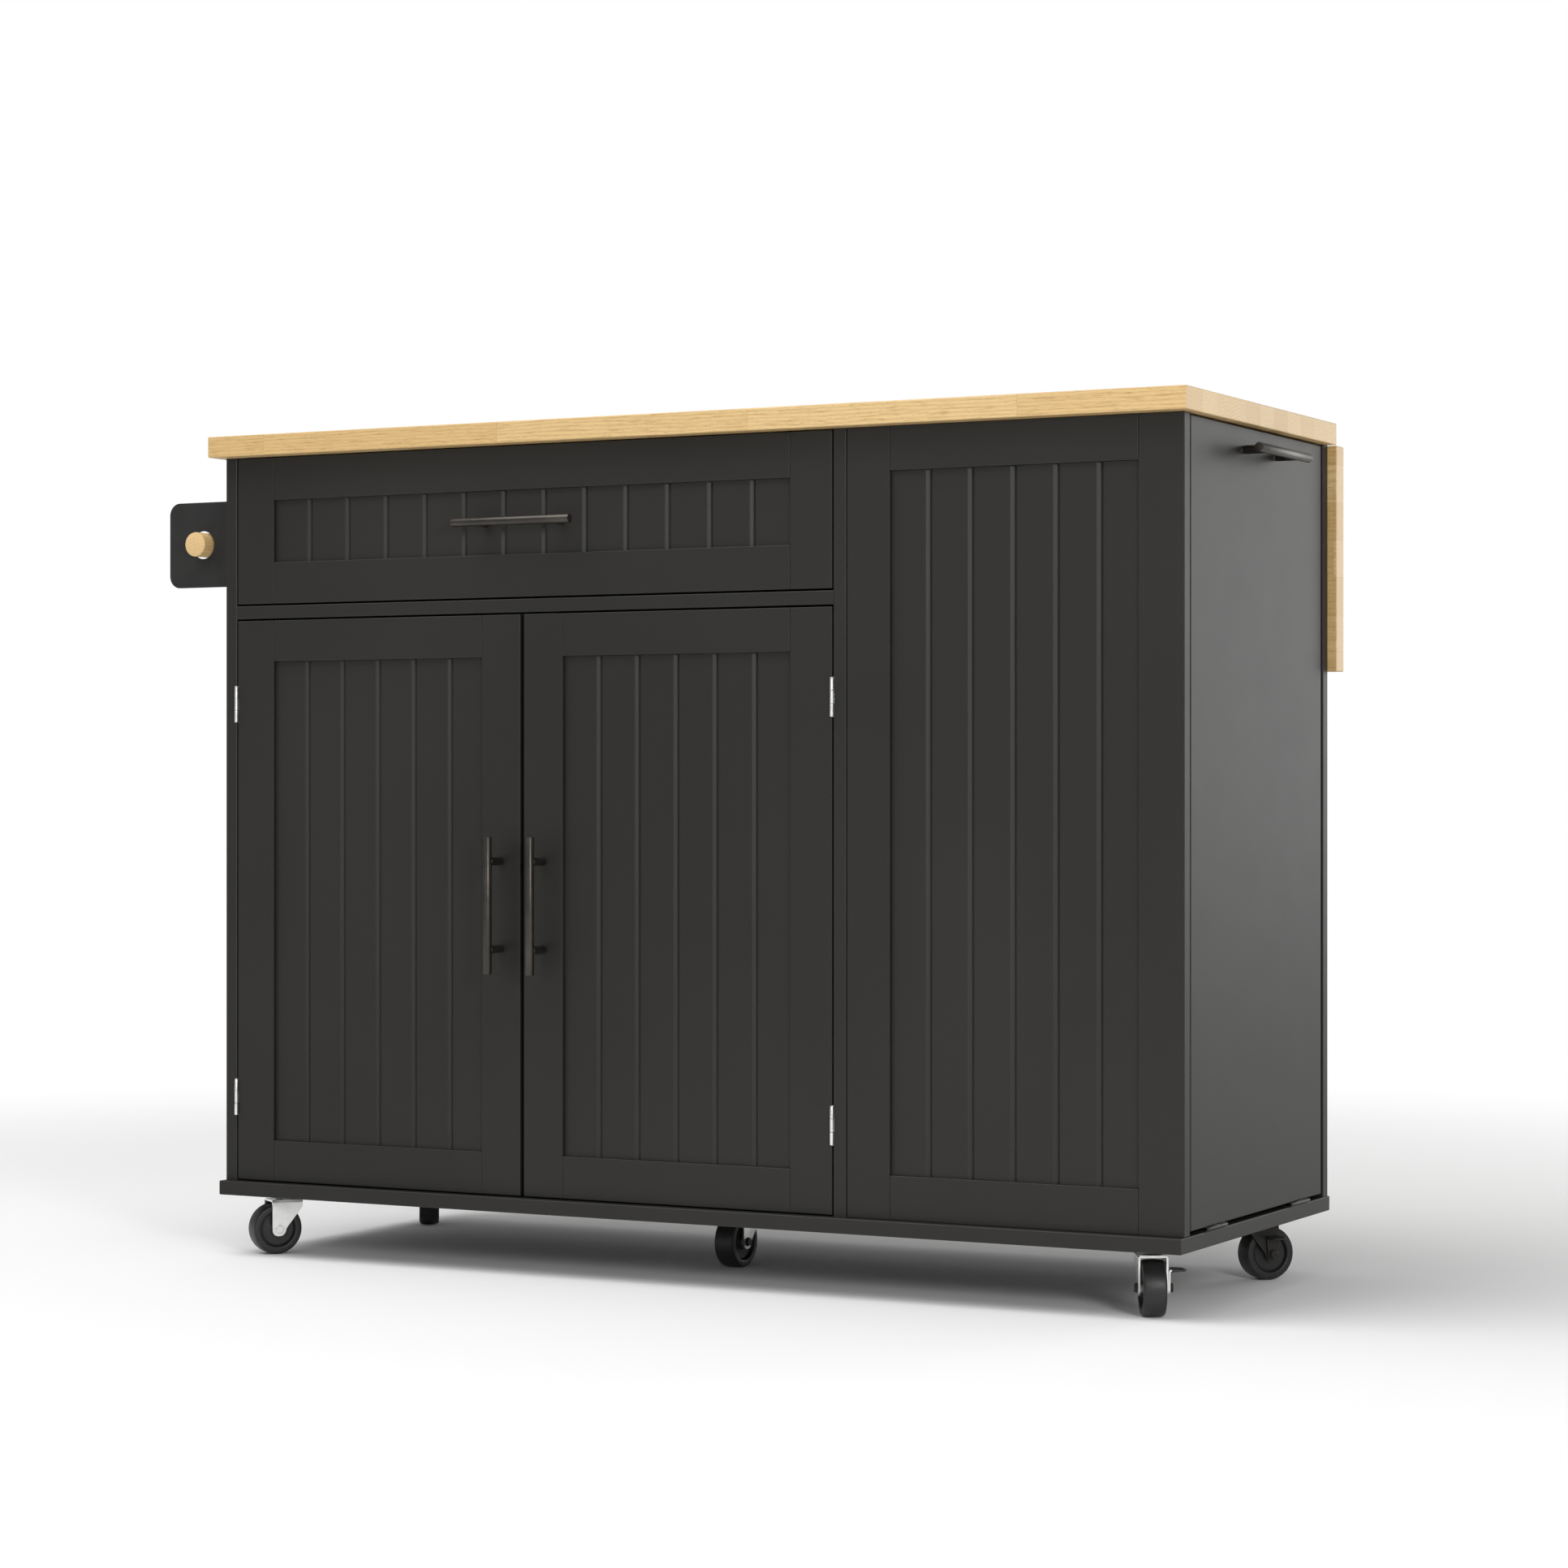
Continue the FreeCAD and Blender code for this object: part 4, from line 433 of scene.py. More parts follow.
def plated(name, light, dark, roughness, metallic, patches):
    """A plated steel: cloudy tone, fine grain, and edges rubbed bright."""
    metal = Finish(name)
    cloud = metal.mottle(metal.place, 46.0, 4.0, 0.62)
    crystal = metal.mottle(metal.place, 900.0, 2.0)
    grain = metal.mottle(metal.place, 3200.0, 1.0)
    edge = metal.edges(0.0006)
    colour = metal.blend(dark, light, metal.between(cloud, 0.3, 0.7))
    colour = metal.blend(colour, dark, metal.between(crystal, 0.6, 0.75) * patches)
    colour = metal.blend(colour, chip(240, 240, 238), edge * 0.35)
    rough = roughness + 0.12 * cloud + 0.06 * crystal - 0.05 * edge
    return metal.lay(colour, rough, grain * 0.6 + crystal * 0.4, 0.000015, metallic=metallic)


bright_zinc = plated("bright_zinc_plate", chip(243, 243, 241), chip(226, 226, 223), 0.20, 0.92, 0.10)
dull_zinc = plated("dull_zinc_plate", chip(198, 199, 200), chip(168, 170, 172), 0.36, 0.95, 0.35)
dark_nickel = plated("dark_nickel", chip(70, 69, 67), chip(46, 45, 44), 0.36, 0.85, 0.25)


def screw_pattern(finish):
    """One screw head with its cross recess, set on every point and faced along the point's own normal."""
    heads = Pattern("screws_" + finish.material.name, {"Points": "Geometry", "Head": "Float", "Crown": "Float"})
    head, crown = heads.size("Head"), heads.size("Crown")
    shank = heads.node("GeometryNodeMeshCone", None, {
        "Vertices": 20, "Side Segments": 1, "Fill Segments": 1, "Radius Top": head * 0.40,
        "Radius Bottom": head * 0.5, "Depth": crown * 1.6})
    bars = []
    for turn in (0.0, math.pi / 2):
        bar = heads.node("GeometryNodeMeshCube", None, {"Size": heads.join(head * 0.56, head * 0.11, crown * 1.4)})
        bars.append(heads.node("GeometryNodeTransform", None, {
            0: bar.outputs[0], "Translation": heads.join(0.0, 0.0, crown * 1.4), "Rotation": (0, 0, turn)}))
    recess = heads.node("GeometryNodeMeshBoolean", {"operation": "DIFFERENCE", "solver": "EXACT"})
    heads.tree.links.new(shank.outputs["Mesh"], recess.inputs["Mesh 1"])
    for bar in bars:
        heads.tree.links.new(bar.outputs[0], recess.inputs["Mesh 2"])
    facing = heads.node("GeometryNodeInputNamedAttribute", {"data_type": "FLOAT_VECTOR"}, {"Name": "facing"})
    turn = heads.node("FunctionNodeAlignRotationToVector", {"axis": "Z"}, {"Vector": facing.outputs[0]})
    spun = heads.node("GeometryNodeInstanceOnPoints", None, {
        0: heads.given["Points"], "Instance": recess.outputs[0], "Rotation": turn.outputs[0]})
    return heads.end(spun.outputs[0], finish)


screw_sets = {}


def screws(name, places, head, finish, body, slot):
    """A set of screws on one body; places are (point, facing) in millimetres."""
    if finish.material.name not in screw_sets:
        screw_sets[finish.material.name] = screw_pattern(finish)
    points = bpy.data.meshes.new(name + "_points")
    points.from_pydata([Vector(point) / 1000 for point, facing in places], [], [])
    facings = points.attributes.new("facing", "FLOAT_VECTOR", "POINT")
    for number, (point, facing) in enumerate(places):
        facings.data[number].vector = facing
    shape = screw_sets[finish.material.name].grown(name + "_heads", {"Head": head / 1000, "Crown": 0.0007}, points)
    stand(name, shape, finish, body, slot)


# Door hinges: small butt hinges in bright zinc-plated steel. The pin and the outer knuckles belong to
# the leaf let into the cabinet, the middle knuckle to the leaf let into the door's edge.

def rounded(corners, steps=6):
    """An outline from (x, y, radius) corners, each corner with a radius drawn as an arc."""
    outline = []
    for number, (x, y, radius) in enumerate(corners):
        here = Vector((x, y))
        if not radius:
            outline.append(here)
            continue
        back = (Vector(corners[number - 1][:2]) - here).normalized()
        ahead = (Vector(corners[(number + 1) % len(corners)][:2]) - here).normalized()
        half = back.angle(ahead) / 2
        centre = here + (back + ahead).normalized() * radius / math.sin(half)
        first = here + back * radius / math.tan(half) - centre
        last = here + ahead * radius / math.tan(half) - centre
        sweep = -first.angle_signed(last)
        outline += [centre + Matrix.Rotation(sweep * k / steps, 2) @ first for k in range(steps + 1)]
    return outline


def rounded_box(x0, x1, y0, y1, radius, steps=6):
    return rounded([(x0, y0, radius), (x1, y0, radius), (x1, y1, radius), (x0, y1, radius)], steps)


def plate(bm, outline, thickness, matrix):
    """A flat plate: its outline lies in XY and its thickness rises along Z, before it is placed."""
    low = [bm.verts.new(matrix @ Vector((x, y, 0))) for x, y in outline]
    high = [bm.verts.new(matrix @ Vector((x, y, thickness))) for x, y in outline]
    bm.faces.new(low[::-1])
    bm.faces.new(high)
    for here in range(len(low)):
        after = (here + 1) % len(low)
        bm.faces.new((low[here], low[after], high[after], high[here]))


def knuckle(bm, matrix, radius, low, high, low_dome, high_dome):
    """One rolled knuckle, its outer end domed where the pin is riveted over."""
    lip = radius * 0.12
    start = [(0, low), (radius * 0.55, low + lip * 0.6), (radius * 0.86, low + radius * 0.3),
             (radius, low + radius * 0.7)] if low_dome else [(0, low), (radius - lip, low), (radius, low + lip)]
    end = [(radius, high - radius * 0.7), (radius * 0.86, high - radius * 0.3),
           (radius * 0.55, high - lip * 0.6), (0, high)] if high_dome else [
        (radius, high - lip), (radius - lip, high), (0, high)]
    turned(bm, start + end, matrix, 32)


def butt_hinge(fixed, moving, matrix, length, diameter, sheet, width, fixed_side, moving_side):
    """A hinge about its own Z. Each side is a matrix that lays a leaf, drawn in XY with its length
    along Y and its width along X, against its own board."""
    third, radius = length / 3, diameter / 2
    gap, root = 0.15, radius + 0.3
    for bm, side, spans in ((fixed, fixed_side, [(0, third - gap), (2 * third + gap, length)]),
                            (moving, moving_side, [(third + gap, 2 * third - gap)])):
        plate(bm, rounded([(root, 0, 0), (width, 0, 2.5), (width, length, 2.5), (root, length, 0)]), sheet,
              matrix @ side)
        for low, high in spans:
            plate(bm, [(0, low), (root + 0.2, low), (root + 0.2, high), (0, high)], sheet, matrix @ side)
            knuckle(bm, matrix, radius, low, high, low == 0, high == length)


def leaf_frame(width_axis, face_axis, lift):
    """A leaf's own axes in its hinge's frame: X along its width, Y along the pin, Z out of its face."""
    wide, out = Vector(width_axis), Vector(face_axis)
    turn = Matrix((wide, (0, 0, 1), out)).transposed().to_4x4()
    return Matrix.Translation(out * lift) @ turn


hinge_length, hinge_levels, pin_line, leaf_lift, strike_low = 42.0, (180.2, 627.5), -210.25, 0.7, 705.2
cabinet_leaves = bmesh.new()
cabinet_screws = []
for side, line, hand in (("left", -539.1, 1), ("right", 222.3, -1)):
    door_leaves = bmesh.new()
    door_screws = []
    for level in hinge_levels:
        place = Matrix.Translation((line, pin_line, level - hinge_length / 2))
        butt_hinge(cabinet_leaves, door_leaves, place, hinge_length, 4.0, 1.1, 16.0,
                   leaf_frame((0, 1, 0), (-hand, 0, 0), leaf_lift), leaf_frame((0, 1, 0), (hand, 0, 0), leaf_lift))
        for rise in (-13.0, 13.0):
            cabinet_screws.append(((line - hand * 0.75, -200.5, level + rise), (hand, 0, 0)))
            door_screws.append(((line + hand * 0.75, -200.5, level + rise), (-hand, 0, 0)))
    x0 = -190.4 if side == "left" else -148.4
    strike = rounded_box(x0, x0 + 22, strike_low, strike_low + 15, 2)
    plate(door_leaves, strike, 1.0, Matrix.Translation((0, -192.25, 0)) @ Matrix.Rotation(math.pi / 2, 4, "X"))
    stand("door_%s_hinge_leaves" % side, finished(door_leaves, "door_leaves_" + side, 0.12, 1),
          bright_zinc, "door_" + side, "bright_steel", "door_%s_fittings" % side)
    screws("door_%s_hinge_screws" % side, door_screws, 4.6, bright_zinc, "door_" + side, "bright_steel")
stand("door_hinge_carriers", finished(cabinet_leaves, "cabinet_leaves", 0.12, 1), bright_zinc, "cabinet",
      "bright_steel", "door_hinge_plates")
screws("door_hinge_carrier_screws", cabinet_screws, 4.6, bright_zinc, "cabinet", "bright_steel")


# Magnetic catch and shelf pins: a moulded black housing under the divider that draws the two strike
# plates on the doors, and four steel pins pressed into the sides that the shelf lies on.

def moulded(name, light, dark, roughness, specular):
    """Moulded plastic: a fine spark-eroded grain, scuffs, and edges rubbed paler."""
    plastic = Finish(name)
    cloud = plastic.mottle(plastic.place, 55.0, 4.0, 0.6)
    grain = plastic.mottle(plastic.place, 1500.0, 2.0)
    scuff = plastic.mottle(plastic.stretched(60, 60, 420), 1.0, 5.0, 0.7)
    edge = plastic.edges(0.0009)
    worn = plastic.between(scuff, 0.58, 0.72)
    colour = plastic.blend(dark, light, plastic.between(cloud, 0.3, 0.7))
    colour = plastic.blend(colour, chip(86, 85, 82), worn * 0.22)
    colour = plastic.blend(colour, chip(96, 95, 92), edge * 0.28)
    rough = roughness + 0.10 * cloud + 0.08 * grain - 0.06 * worn
    return plastic.lay(colour, rough, grain, 0.00003, specular=specular)


black_plastic = moulded("moulded_black", chip(48, 47, 46), chip(38, 38, 37), 0.42, 0.4)
catch = bmesh.new()
board(catch, -190.4, -126.4, -191.95, -177.95, 713.2, 724.2)
for x in (-179.4, -137.4):
    board(catch, x - 8, x + 8, -192.05, -184, 715.0, 716.4)
    board(catch, x - 8, x + 8, -192.05, -184, 719.4, 720.8)
stand("door_catch_housing", finished(catch, "catch_housing", 0.5, 2), black_plastic, "cabinet", "catch_plastic",
      "door_catch")
pins = bmesh.new()
for x, out in ((-547.9, 1), (231.1, -1)):
    for y in (-113.25, 156.85):
        turned(pins, [(0, 0), (2.3, 0), (2.5, 0.3), (2.5, 16.5), (2.2, 17), (0, 17)],
               along((out, 0, 0), (x, y, 400.5)), 24)
stand("shelf_pin_set", finished(pins, "shelf_pin_shape"), dull_zinc, "cabinet", "zinc_steel", "shelf_pins")


# Drawer box and slides: painted fibreboard sides, back and a thin bottom in a groove, hung on three-part
# ball-bearing slides of rolled zinc-plated strip, screwed through the members.

dress(paint, "drawer_sides", "drawer_back", "drawer_bottom")
dress(dull_zinc, "slides_inner", "slides_middle", "slides_outer")


def ball_rows():
    """Bearing balls in the slides: one small ball set on every point of a row."""
    balls = Pattern("slide_balls", {"Points": "Geometry", "Ball": "Float"})
    ball = balls.node("GeometryNodeMeshIcoSphere", None, {"Radius": balls.size("Ball"), "Subdivisions": 2})
    row = balls.node("GeometryNodeInstanceOnPoints", None, {0: balls.given["Points"], "Instance": ball.outputs[0]})
    return balls.end(row.outputs[0], bright_zinc)


rows = bpy.data.meshes.new("slide_ball_points")
rows.from_pydata([Vector((x, -150.0 + step * 14.0, z)) / 1000 for x in (-533.6, 216.8)
                  for z in (794.0, 829.4) for step in range(16)], [], [])
balls = ball_rows().grown("slide_balls", {"Ball": 0.0011}, rows)
stand("slide_ball_rows", balls, bright_zinc, "slides", "zinc_steel")


# End door: one flat painted panel hinged at its lower edge on two dark butt hinges, with a cut-out shelf
# that carries the bin behind it, and a curved steel stay that stops it in a plastic guide.

stand("tilt_door_painted", eased("tilt_door_panel", 0.35), paint, "tilt_door", "cabinet_paint", "tilt_door_panel")
dress(paint, "bin_holder")
tilt_fixed, tilt_moving = bmesh.new(), bmesh.new()
for y in (-149.6, 97.7):
    butt_hinge(tilt_fixed, tilt_moving, along((0, 1, 0), (616.1, y, 87.2)), 56.0, 4.0, 0.8, 18.0,
               leaf_frame((-1, 0, 0), (0, 1, 0), 1.4), leaf_frame((-1, 0, 0), (0, -1, 0), 1.4))
stand("tilt_hinge_carriers", finished(tilt_fixed, "tilt_fixed", 0.1, 1), dark_nickel, "cabinet", "dark_steel",
      "tilt_hinge_plates")
stand("tilt_hinge_leaves", finished(tilt_moving, "tilt_moving", 0.1, 1), dark_nickel, "tilt_door", "dark_steel",
      "tilt_door_hinges")
dress(dull_zinc, "quadrant_stay")
dress(black_plastic, "quadrant_guide")


# Towel rail: two brackets of black powder-coated sheet steel, folded to an angle and screwed to the left
# side, and a wooden dowel that goes through the front one's hole and is screwed to the rear one.

def powder_coat():
    coat = Finish("black_powder_coat")
    crinkle = coat.mottle(coat.place, 1400.0, 3.0, 0.6)
    cloud = coat.mottle(coat.place, 30.0, 3.0)
    edge = coat.edges(0.0008)
    colour = coat.blend(chip(26, 26, 26), chip(34, 34, 33), coat.between(cloud, 0.3, 0.7))
    colour = coat.blend(colour, chip(84, 82, 79), edge * 0.45)
    rough = 0.44 + 0.12 * crinkle + 0.05 * cloud
    return coat.lay(colour, rough, crinkle, 0.00005, specular=0.42)


def pierced(bm, outline, hole, thickness):
    """A plate in XY with one round hole (x, y, radius)."""
    loops = [outline, [Vector((hole[0] + hole[2] * math.cos(2 * math.pi * k / 72),
                               hole[1] + hole[2] * math.sin(2 * math.pi * k / 72))) for k in range(72)]]
    rims = []
    for loop in loops:
        verts = [bm.verts.new((x, y, 0)) for x, y in loop]
        rims += [bm.edges.new((verts[k], verts[(k + 1) % len(verts)])) for k in range(len(verts))]
    flat = bmesh.ops.triangle_fill(bm, use_beauty=True, use_dissolve=False, edges=rims)
    faces = [item for item in flat["geom"] if isinstance(item, bmesh.types.BMFace)]
    raised = bmesh.ops.extrude_face_region(bm, geom=faces, use_keep_orig=True)
    bmesh.ops.translate(bm, vec=(0, 0, thickness),
                        verts=[item for item in raised["geom"] if isinstance(item, bmesh.types.BMVert)])


def fold(bm, line, radius, thickness):
    """Fold a flat sheet that lies in XY square up along Z, past X = line, round an inner radius."""
    neutral, steps = radius + thickness / 2, 6
    bend = neutral * math.pi / 2
    for k in range(steps + 1):
        bmesh.ops.bisect_plane(bm, geom=bm.verts[:] + bm.edges[:] + bm.faces[:], dist=1e-4,
                               plane_co=(line + bend * k / steps, 0, 0), plane_no=(1, 0, 0))
    for vert in bm.verts:
        beyond = vert.co.x - line
        if beyond <= 0:
            continue
        phi = min(beyond, bend) / neutral
        rest = max(beyond - bend, 0.0)
        arm = thickness + radius - vert.co.z
        vert.co.x = line + arm * math.sin(phi)
        vert.co.z = thickness + radius - arm * math.cos(phi) + rest


def move(bm, matrix):
    bmesh.ops.transform(bm, matrix=matrix, verts=bm.verts)


powder = powder_coat()
side_face, bracket_low, bracket_sheet = -554.85, 763.0, 2.0
brackets = bmesh.new()
bracket_screws = []
for y, hand in ((-189.65, 1), (198.25, -1)):
    wing = bmesh.new()
    blank = rounded([(-93.2, 0, 14), (29.4, 0, 3), (29.4, 98, 3), (-93.2, 98, 14)], 12)
    if hand > 0:
        pierced(wing, blank, (-46.2, 49.0, 16.0), bracket_sheet)
    else:
        plate(wing, blank, bracket_sheet, Matrix())
    fold(wing, -3.5, 1.5, bracket_sheet)
    turn = Matrix(((1, 0, 0), (0, 0, hand), (0, 1, 0))).to_4x4()
    move(wing, Matrix.Translation((side_face, y, bracket_low)) @ turn)
    held = bpy.data.meshes.new("wing")
    wing.to_mesh(held)
    wing.free()
    brackets.from_mesh(held)
    bracket_screws += [((-556.9, y + hand * 20.0, bracket_low + rise), (-1, 0, 0)) for rise in (18.0, 80.0)]
stand("towel_bracket_pair", finished(brackets, "bracket_shape", 0.3, 2), powder, "cabinet", "rack_metal",
      "towel_brackets")
screws("towel_bracket_screws", bracket_screws, 8.0, powder, "cabinet", "rack_metal")


def jointed_wood(name, order, centre, stave, block):
    """Light hardwood of staves end-jointed from blocks. order names the axes (0 X, 1 Y, 2 Z) along the
    grain, across the staves and through the board; centre is the middle of the board on the last two."""
    wood = Finish(name)
    axes = wood.split(wood.place)
    run, wide, deep = axes[order[0]], axes[order[1]] - centre[0], axes[order[2]] - centre[1]
    strip = wide / stave + 0.5
    row = wood.sum("FLOOR", strip)
    shift = wood.node("ShaderNodeTexWhiteNoise", {"noise_dimensions": "1D"}, {"W": row * 1.7 + 3.3})
    lengthwise = run / block + Reading(wood, shift.outputs["Value"]) * 9.0
    cell = wood.sum("FLOOR", lengthwise)
    chance = wood.node("ShaderNodeTexWhiteNoise", {"noise_dimensions": "3D"},
                       {"Vector": wood.join(row, cell, 2.5)})
    tone = Reading(wood, chance.outputs["Value"])
    first, second, third = wood.split(chance.outputs["Color"])
    sway = wood.mottle(wood.join(run * 5.0 + first * 40.0, wide * 26.0, deep * 26.0), 1.0, 3.0)
    aside = wide - row * stave - (first - 0.5) * 0.09
    below = deep + 0.018 + second * 0.07
    ring = wood.sum("SQRT", aside * aside + below * below) + sway * 0.011
    wave = wood.sum("SINE", ring * 1650.0) * 0.5 + 0.5
    latewood = wave * wave
    streak = wood.mottle(wood.join(run * 36.0 + third * 50.0, wide * 620.0, deep * 620.0), 1.0, 3.0, 0.6)
    pore = wood.mottle(wood.join(run * 120.0 + second * 50.0, wide * 1900.0, deep * 1900.0), 1.0, 2.0, 0.5)
    along_gap = wood.sum("PINGPONG", lengthwise, 0.5) * block
    across_gap = wood.sum("PINGPONG", strip, 0.5) * stave
    joint = 1.0 - wood.between(wood.sum("MINIMUM", along_gap, across_gap), 0.00012, 0.00045)
    # square_on picks out the end faces for the painted light laid on them below.
    square_on = wood.split(wood.facing)[order[0]]
    end = wood.between(wood.sum("ABSOLUTE", square_on), 0.6, 0.9)
    edge = wood.edges(0.0012)
    colour = wood.blend(chip(229, 200, 148), chip(209, 175, 118), tone)
    colour = wood.blend(colour, chip(190, 150, 92), latewood * 0.40)
    colour = wood.blend(colour, chip(168, 126, 72), wood.between(streak, 0.50, 0.72) * 0.52)
    colour = wood.blend(colour, chip(142, 101, 56), wood.between(pore, 0.58, 0.72) * 0.50)
    colour = wood.blend(colour, chip(170, 124, 74), joint * 0.42)
    # End faces take a paler, flatter tan: partly the ends' own tone, partly painted light for the brighter light they
    # catch.
    colour = wood.blend(colour, chip(226, 194, 142), end * 0.45)
    colour = wood.blend(colour, chip(236, 208, 160), edge * 0.30)
    rough = 0.40 + 0.10 * streak + 0.05 * latewood - 0.04 * edge
    height = 0.5 * streak + 0.3 * latewood - 0.5 * wood.between(pore, 0.6, 0.74) - joint
    return wood.lay(colour, rough, height, 0.00005, specular=0.42, coat=0.12)


dowel_wood = jointed_wood("dowel_wood", (1, 0, 2), (-0.6011, 0.812), 0.5, 3.0)
dowel = bmesh.new()
turned(dowel, [(0, 0), (12.6, 0), (13.4, 0.25), (13.85, 0.8), (14, 1.5), (14, 399.7), (13.6, 400.7), (12.9, 401.0),
               (0, 401.0)], along((0, 1, 0), (-601.1, -205.4, 812.0)), 72)
stand("towel_dowel", finished(dowel, "dowel_shape"), dowel_wood, "cabinet", "oak_wood", "towel_bar")


# Counter and drop leaf: solid light hardwood, glued up from staves of finger-jointed blocks, planed flat,
# edges eased and clear-varnished. Screws from below hold the counter; the leaf hangs on three hinges.

counter_wood = jointed_wood("counter_wood", (0, 1, 2), (0.0, 0.920), 0.041, 0.31)
leaf_wood = jointed_wood("leaf_wood", (0, 2, 1), (0.784, 0.230), 0.041, 0.31)
stand("counter_slab", eased("countertop", 0.8), counter_wood, "cabinet", "oak_wood", "countertop")
stand("leaf_slab", eased("drop_leaf", 0.8), leaf_wood, "leaf", "oak_wood", "drop_leaf")


# Leaf hinges and folding stays: three zinc-plated butt hinges let into the two boards, and two flat steel
# arms that hang from lugs on the leaf and run on rollers in channels screwed to the back.

leaf_hinge_length, leaf_face, counter_under, stay_lines = 60.0, 217.7, 908.0, (-334.9, 395.1)
lug_sheet, stay_sheet, stay_pivot, stay_foot, stay_depth = 2.0, 3.0, 818.0, 676.0, 209.7
across = Matrix(((0, 0, 1, 0), (1, 0, 0, 0), (0, 1, 0, 0), (0, 0, 0, 1)))
leaf_carriers, leaf_flaps = bmesh.new(), bmesh.new()
carrier_screws, flap_screws = [], []
for x in (-469.9, 30.1, 530.1):
    butt_hinge(leaf_carriers, leaf_flaps, along((1, 0, 0), (x - leaf_hinge_length / 2, leaf_face, counter_under)),
               leaf_hinge_length, 7.0, 1.6, 30.0,
               leaf_frame((0, -1, 0), (-1, 0, 0), 0.0), leaf_frame((1, 0, 0), (0, 1, 0), 0.0))
    for reach in (-19.0, 0.0, 19.0):
        carrier_screws.append(((x + reach, 198.0 - 4.0 * (reach == 0.0), counter_under), (0, 0, -1)))
        flap_screws.append(((x + reach, 217.75, 889.0 - 4.0 * (reach == 0.0)), (0, -1, 0)))
for x in stay_lines:
    lug = x - stay_sheet / 2 - 2.3
    plate(leaf_flaps, rounded_box(x - 12, x + 12, 801, 835, 3), lug_sheet,
          Matrix.Translation((0, leaf_face, 0)) @ Matrix.Rotation(math.pi / 2, 4, "X"))
    ear = rounded([(204.7, 813, 4.9), (216.0, 813, 0), (216.0, 823, 0), (204.7, 823, 4.9)])
    plate(leaf_flaps, ear, lug_sheet, Matrix.Translation((lug, 0, 0)) @ across)
    turned(leaf_flaps, [(0, 0), (2.5, 0), (2.5, 5.6), (4.0, 5.6), (4.0, 6.6), (3.2, 7.4), (0, 7.6)],
           along((1, 0, 0), (lug, stay_depth, stay_pivot)), 32)
    flap_screws += [((x + 7.5, 215.7, stay_pivot + rise), (0, -1, 0)) for rise in (10.5, -10.5)]
stand("leaf_hinge_carriers", finished(leaf_carriers, "leaf_carriers", 0.15, 1), dull_zinc, "cabinet", "zinc_steel",
      "leaf_hinge_plates")
stand("leaf_hinge_flaps", finished(leaf_flaps, "leaf_flaps", 0.15, 1), dull_zinc, "leaf", "zinc_steel",
      "leaf_fittings")
screws("leaf_carrier_screws", carrier_screws, 7.0, dull_zinc, "cabinet", "zinc_steel")
screws("leaf_flap_screws", flap_screws, 6.0, dull_zinc, "leaf", "zinc_steel")
stays = bmesh.new()
for x in stay_lines:
    bar = rounded_box(stay_depth - 5.45, stay_depth + 5.45, stay_foot - 5.5, stay_pivot + 5.5, 5.4, 8)
    plate(stays, bar, stay_sheet, Matrix.Translation((x - stay_sheet / 2, 0, 0)) @ across)
    turned(stays, [(0, 0), (4.2, 0), (4.5, 0.4), (4.5, 4.6), (4.2, 5.0), (0, 5.0)],
           along((1, 0, 0), (x + stay_sheet / 2, stay_depth, stay_foot)), 32)
stand("leaf_stay_arms", finished(stays, "stay_shape", 0.3, 2), dull_zinc, "stays", "zinc_steel", "leaf_stays")
dress(dull_zinc, "stay_channels")


# Casters: a square zinc-plated plate with a ball race, a fork folded from sheet with tapering legs, and a
# moulded black wheel on a bolt. Two of them have a pressed lever that is trodden down onto the tread.

# each caster's place in X and Y, its turn in degrees, and on which side of the fork it has a lever
casters = {
    "front_left": (-500.7, -164.15, 234.0, 0),
    "front_right": (560.9, -164.15, -60.6, 1),
    "middle": (15.5, -22.25, -92.2, 0),
    "rear_right": (560.9, 130.55, 50.4, -1),
    "rear_left": (-500.7, 130.55, 123.4, 0),
}


# Blackened steel for the bolt nuts; the rear right fork and its lever wear it too, as painted shade.
def blackened():
    steel = Finish("blackened_bolt_steel")
    cloud = steel.mottle(steel.place, 300.0, 3.0)
    edge = steel.edges(0.0006)
    colour = steel.blend(chip(44, 43, 42), chip(60, 58, 56), cloud)
    colour = steel.blend(colour, chip(120, 118, 114), edge * 0.4)
    return steel.lay(colour, 0.36 + 0.14 * cloud, cloud, 0.00002, metallic=0.7)


black_nuts_and_shaded_fork = blackened()
tyre = moulded("wheel_moulding", chip(38, 38, 38), chip(29, 29, 29), 0.36, 0.45)


def wheel_profile():
    """Half of the wheel's section from the bore to the middle of the tread, and its mirror."""
    half = [(3.1, 9.3), (7.4, 9.4), (8.0, 9.0), (8.5, 8.3), (9.3, 8.1), (17.8, 8.5), (18.2, 8.2), (18.5, 7.7),
            (19.0, 7.7), (19.4, 8.5), (20.0, 10.2), (20.5, 11.3), (21.3, 11.9), (22.4, 12.0), (25.6, 11.9)]
    half += [(25.7 + 2.8 * math.sin(k * math.pi / 18), 9.0 + 2.9 * math.cos(k * math.pi / 18)) for k in range(1, 9)]
    half += [(28.5, 8.4), (28.75, 6.4), (28.9, 4.2), (28.98, 2.0), (29.0, 0.0)]
    return half + [(radius, -out) for radius, out in half[-2::-1]]


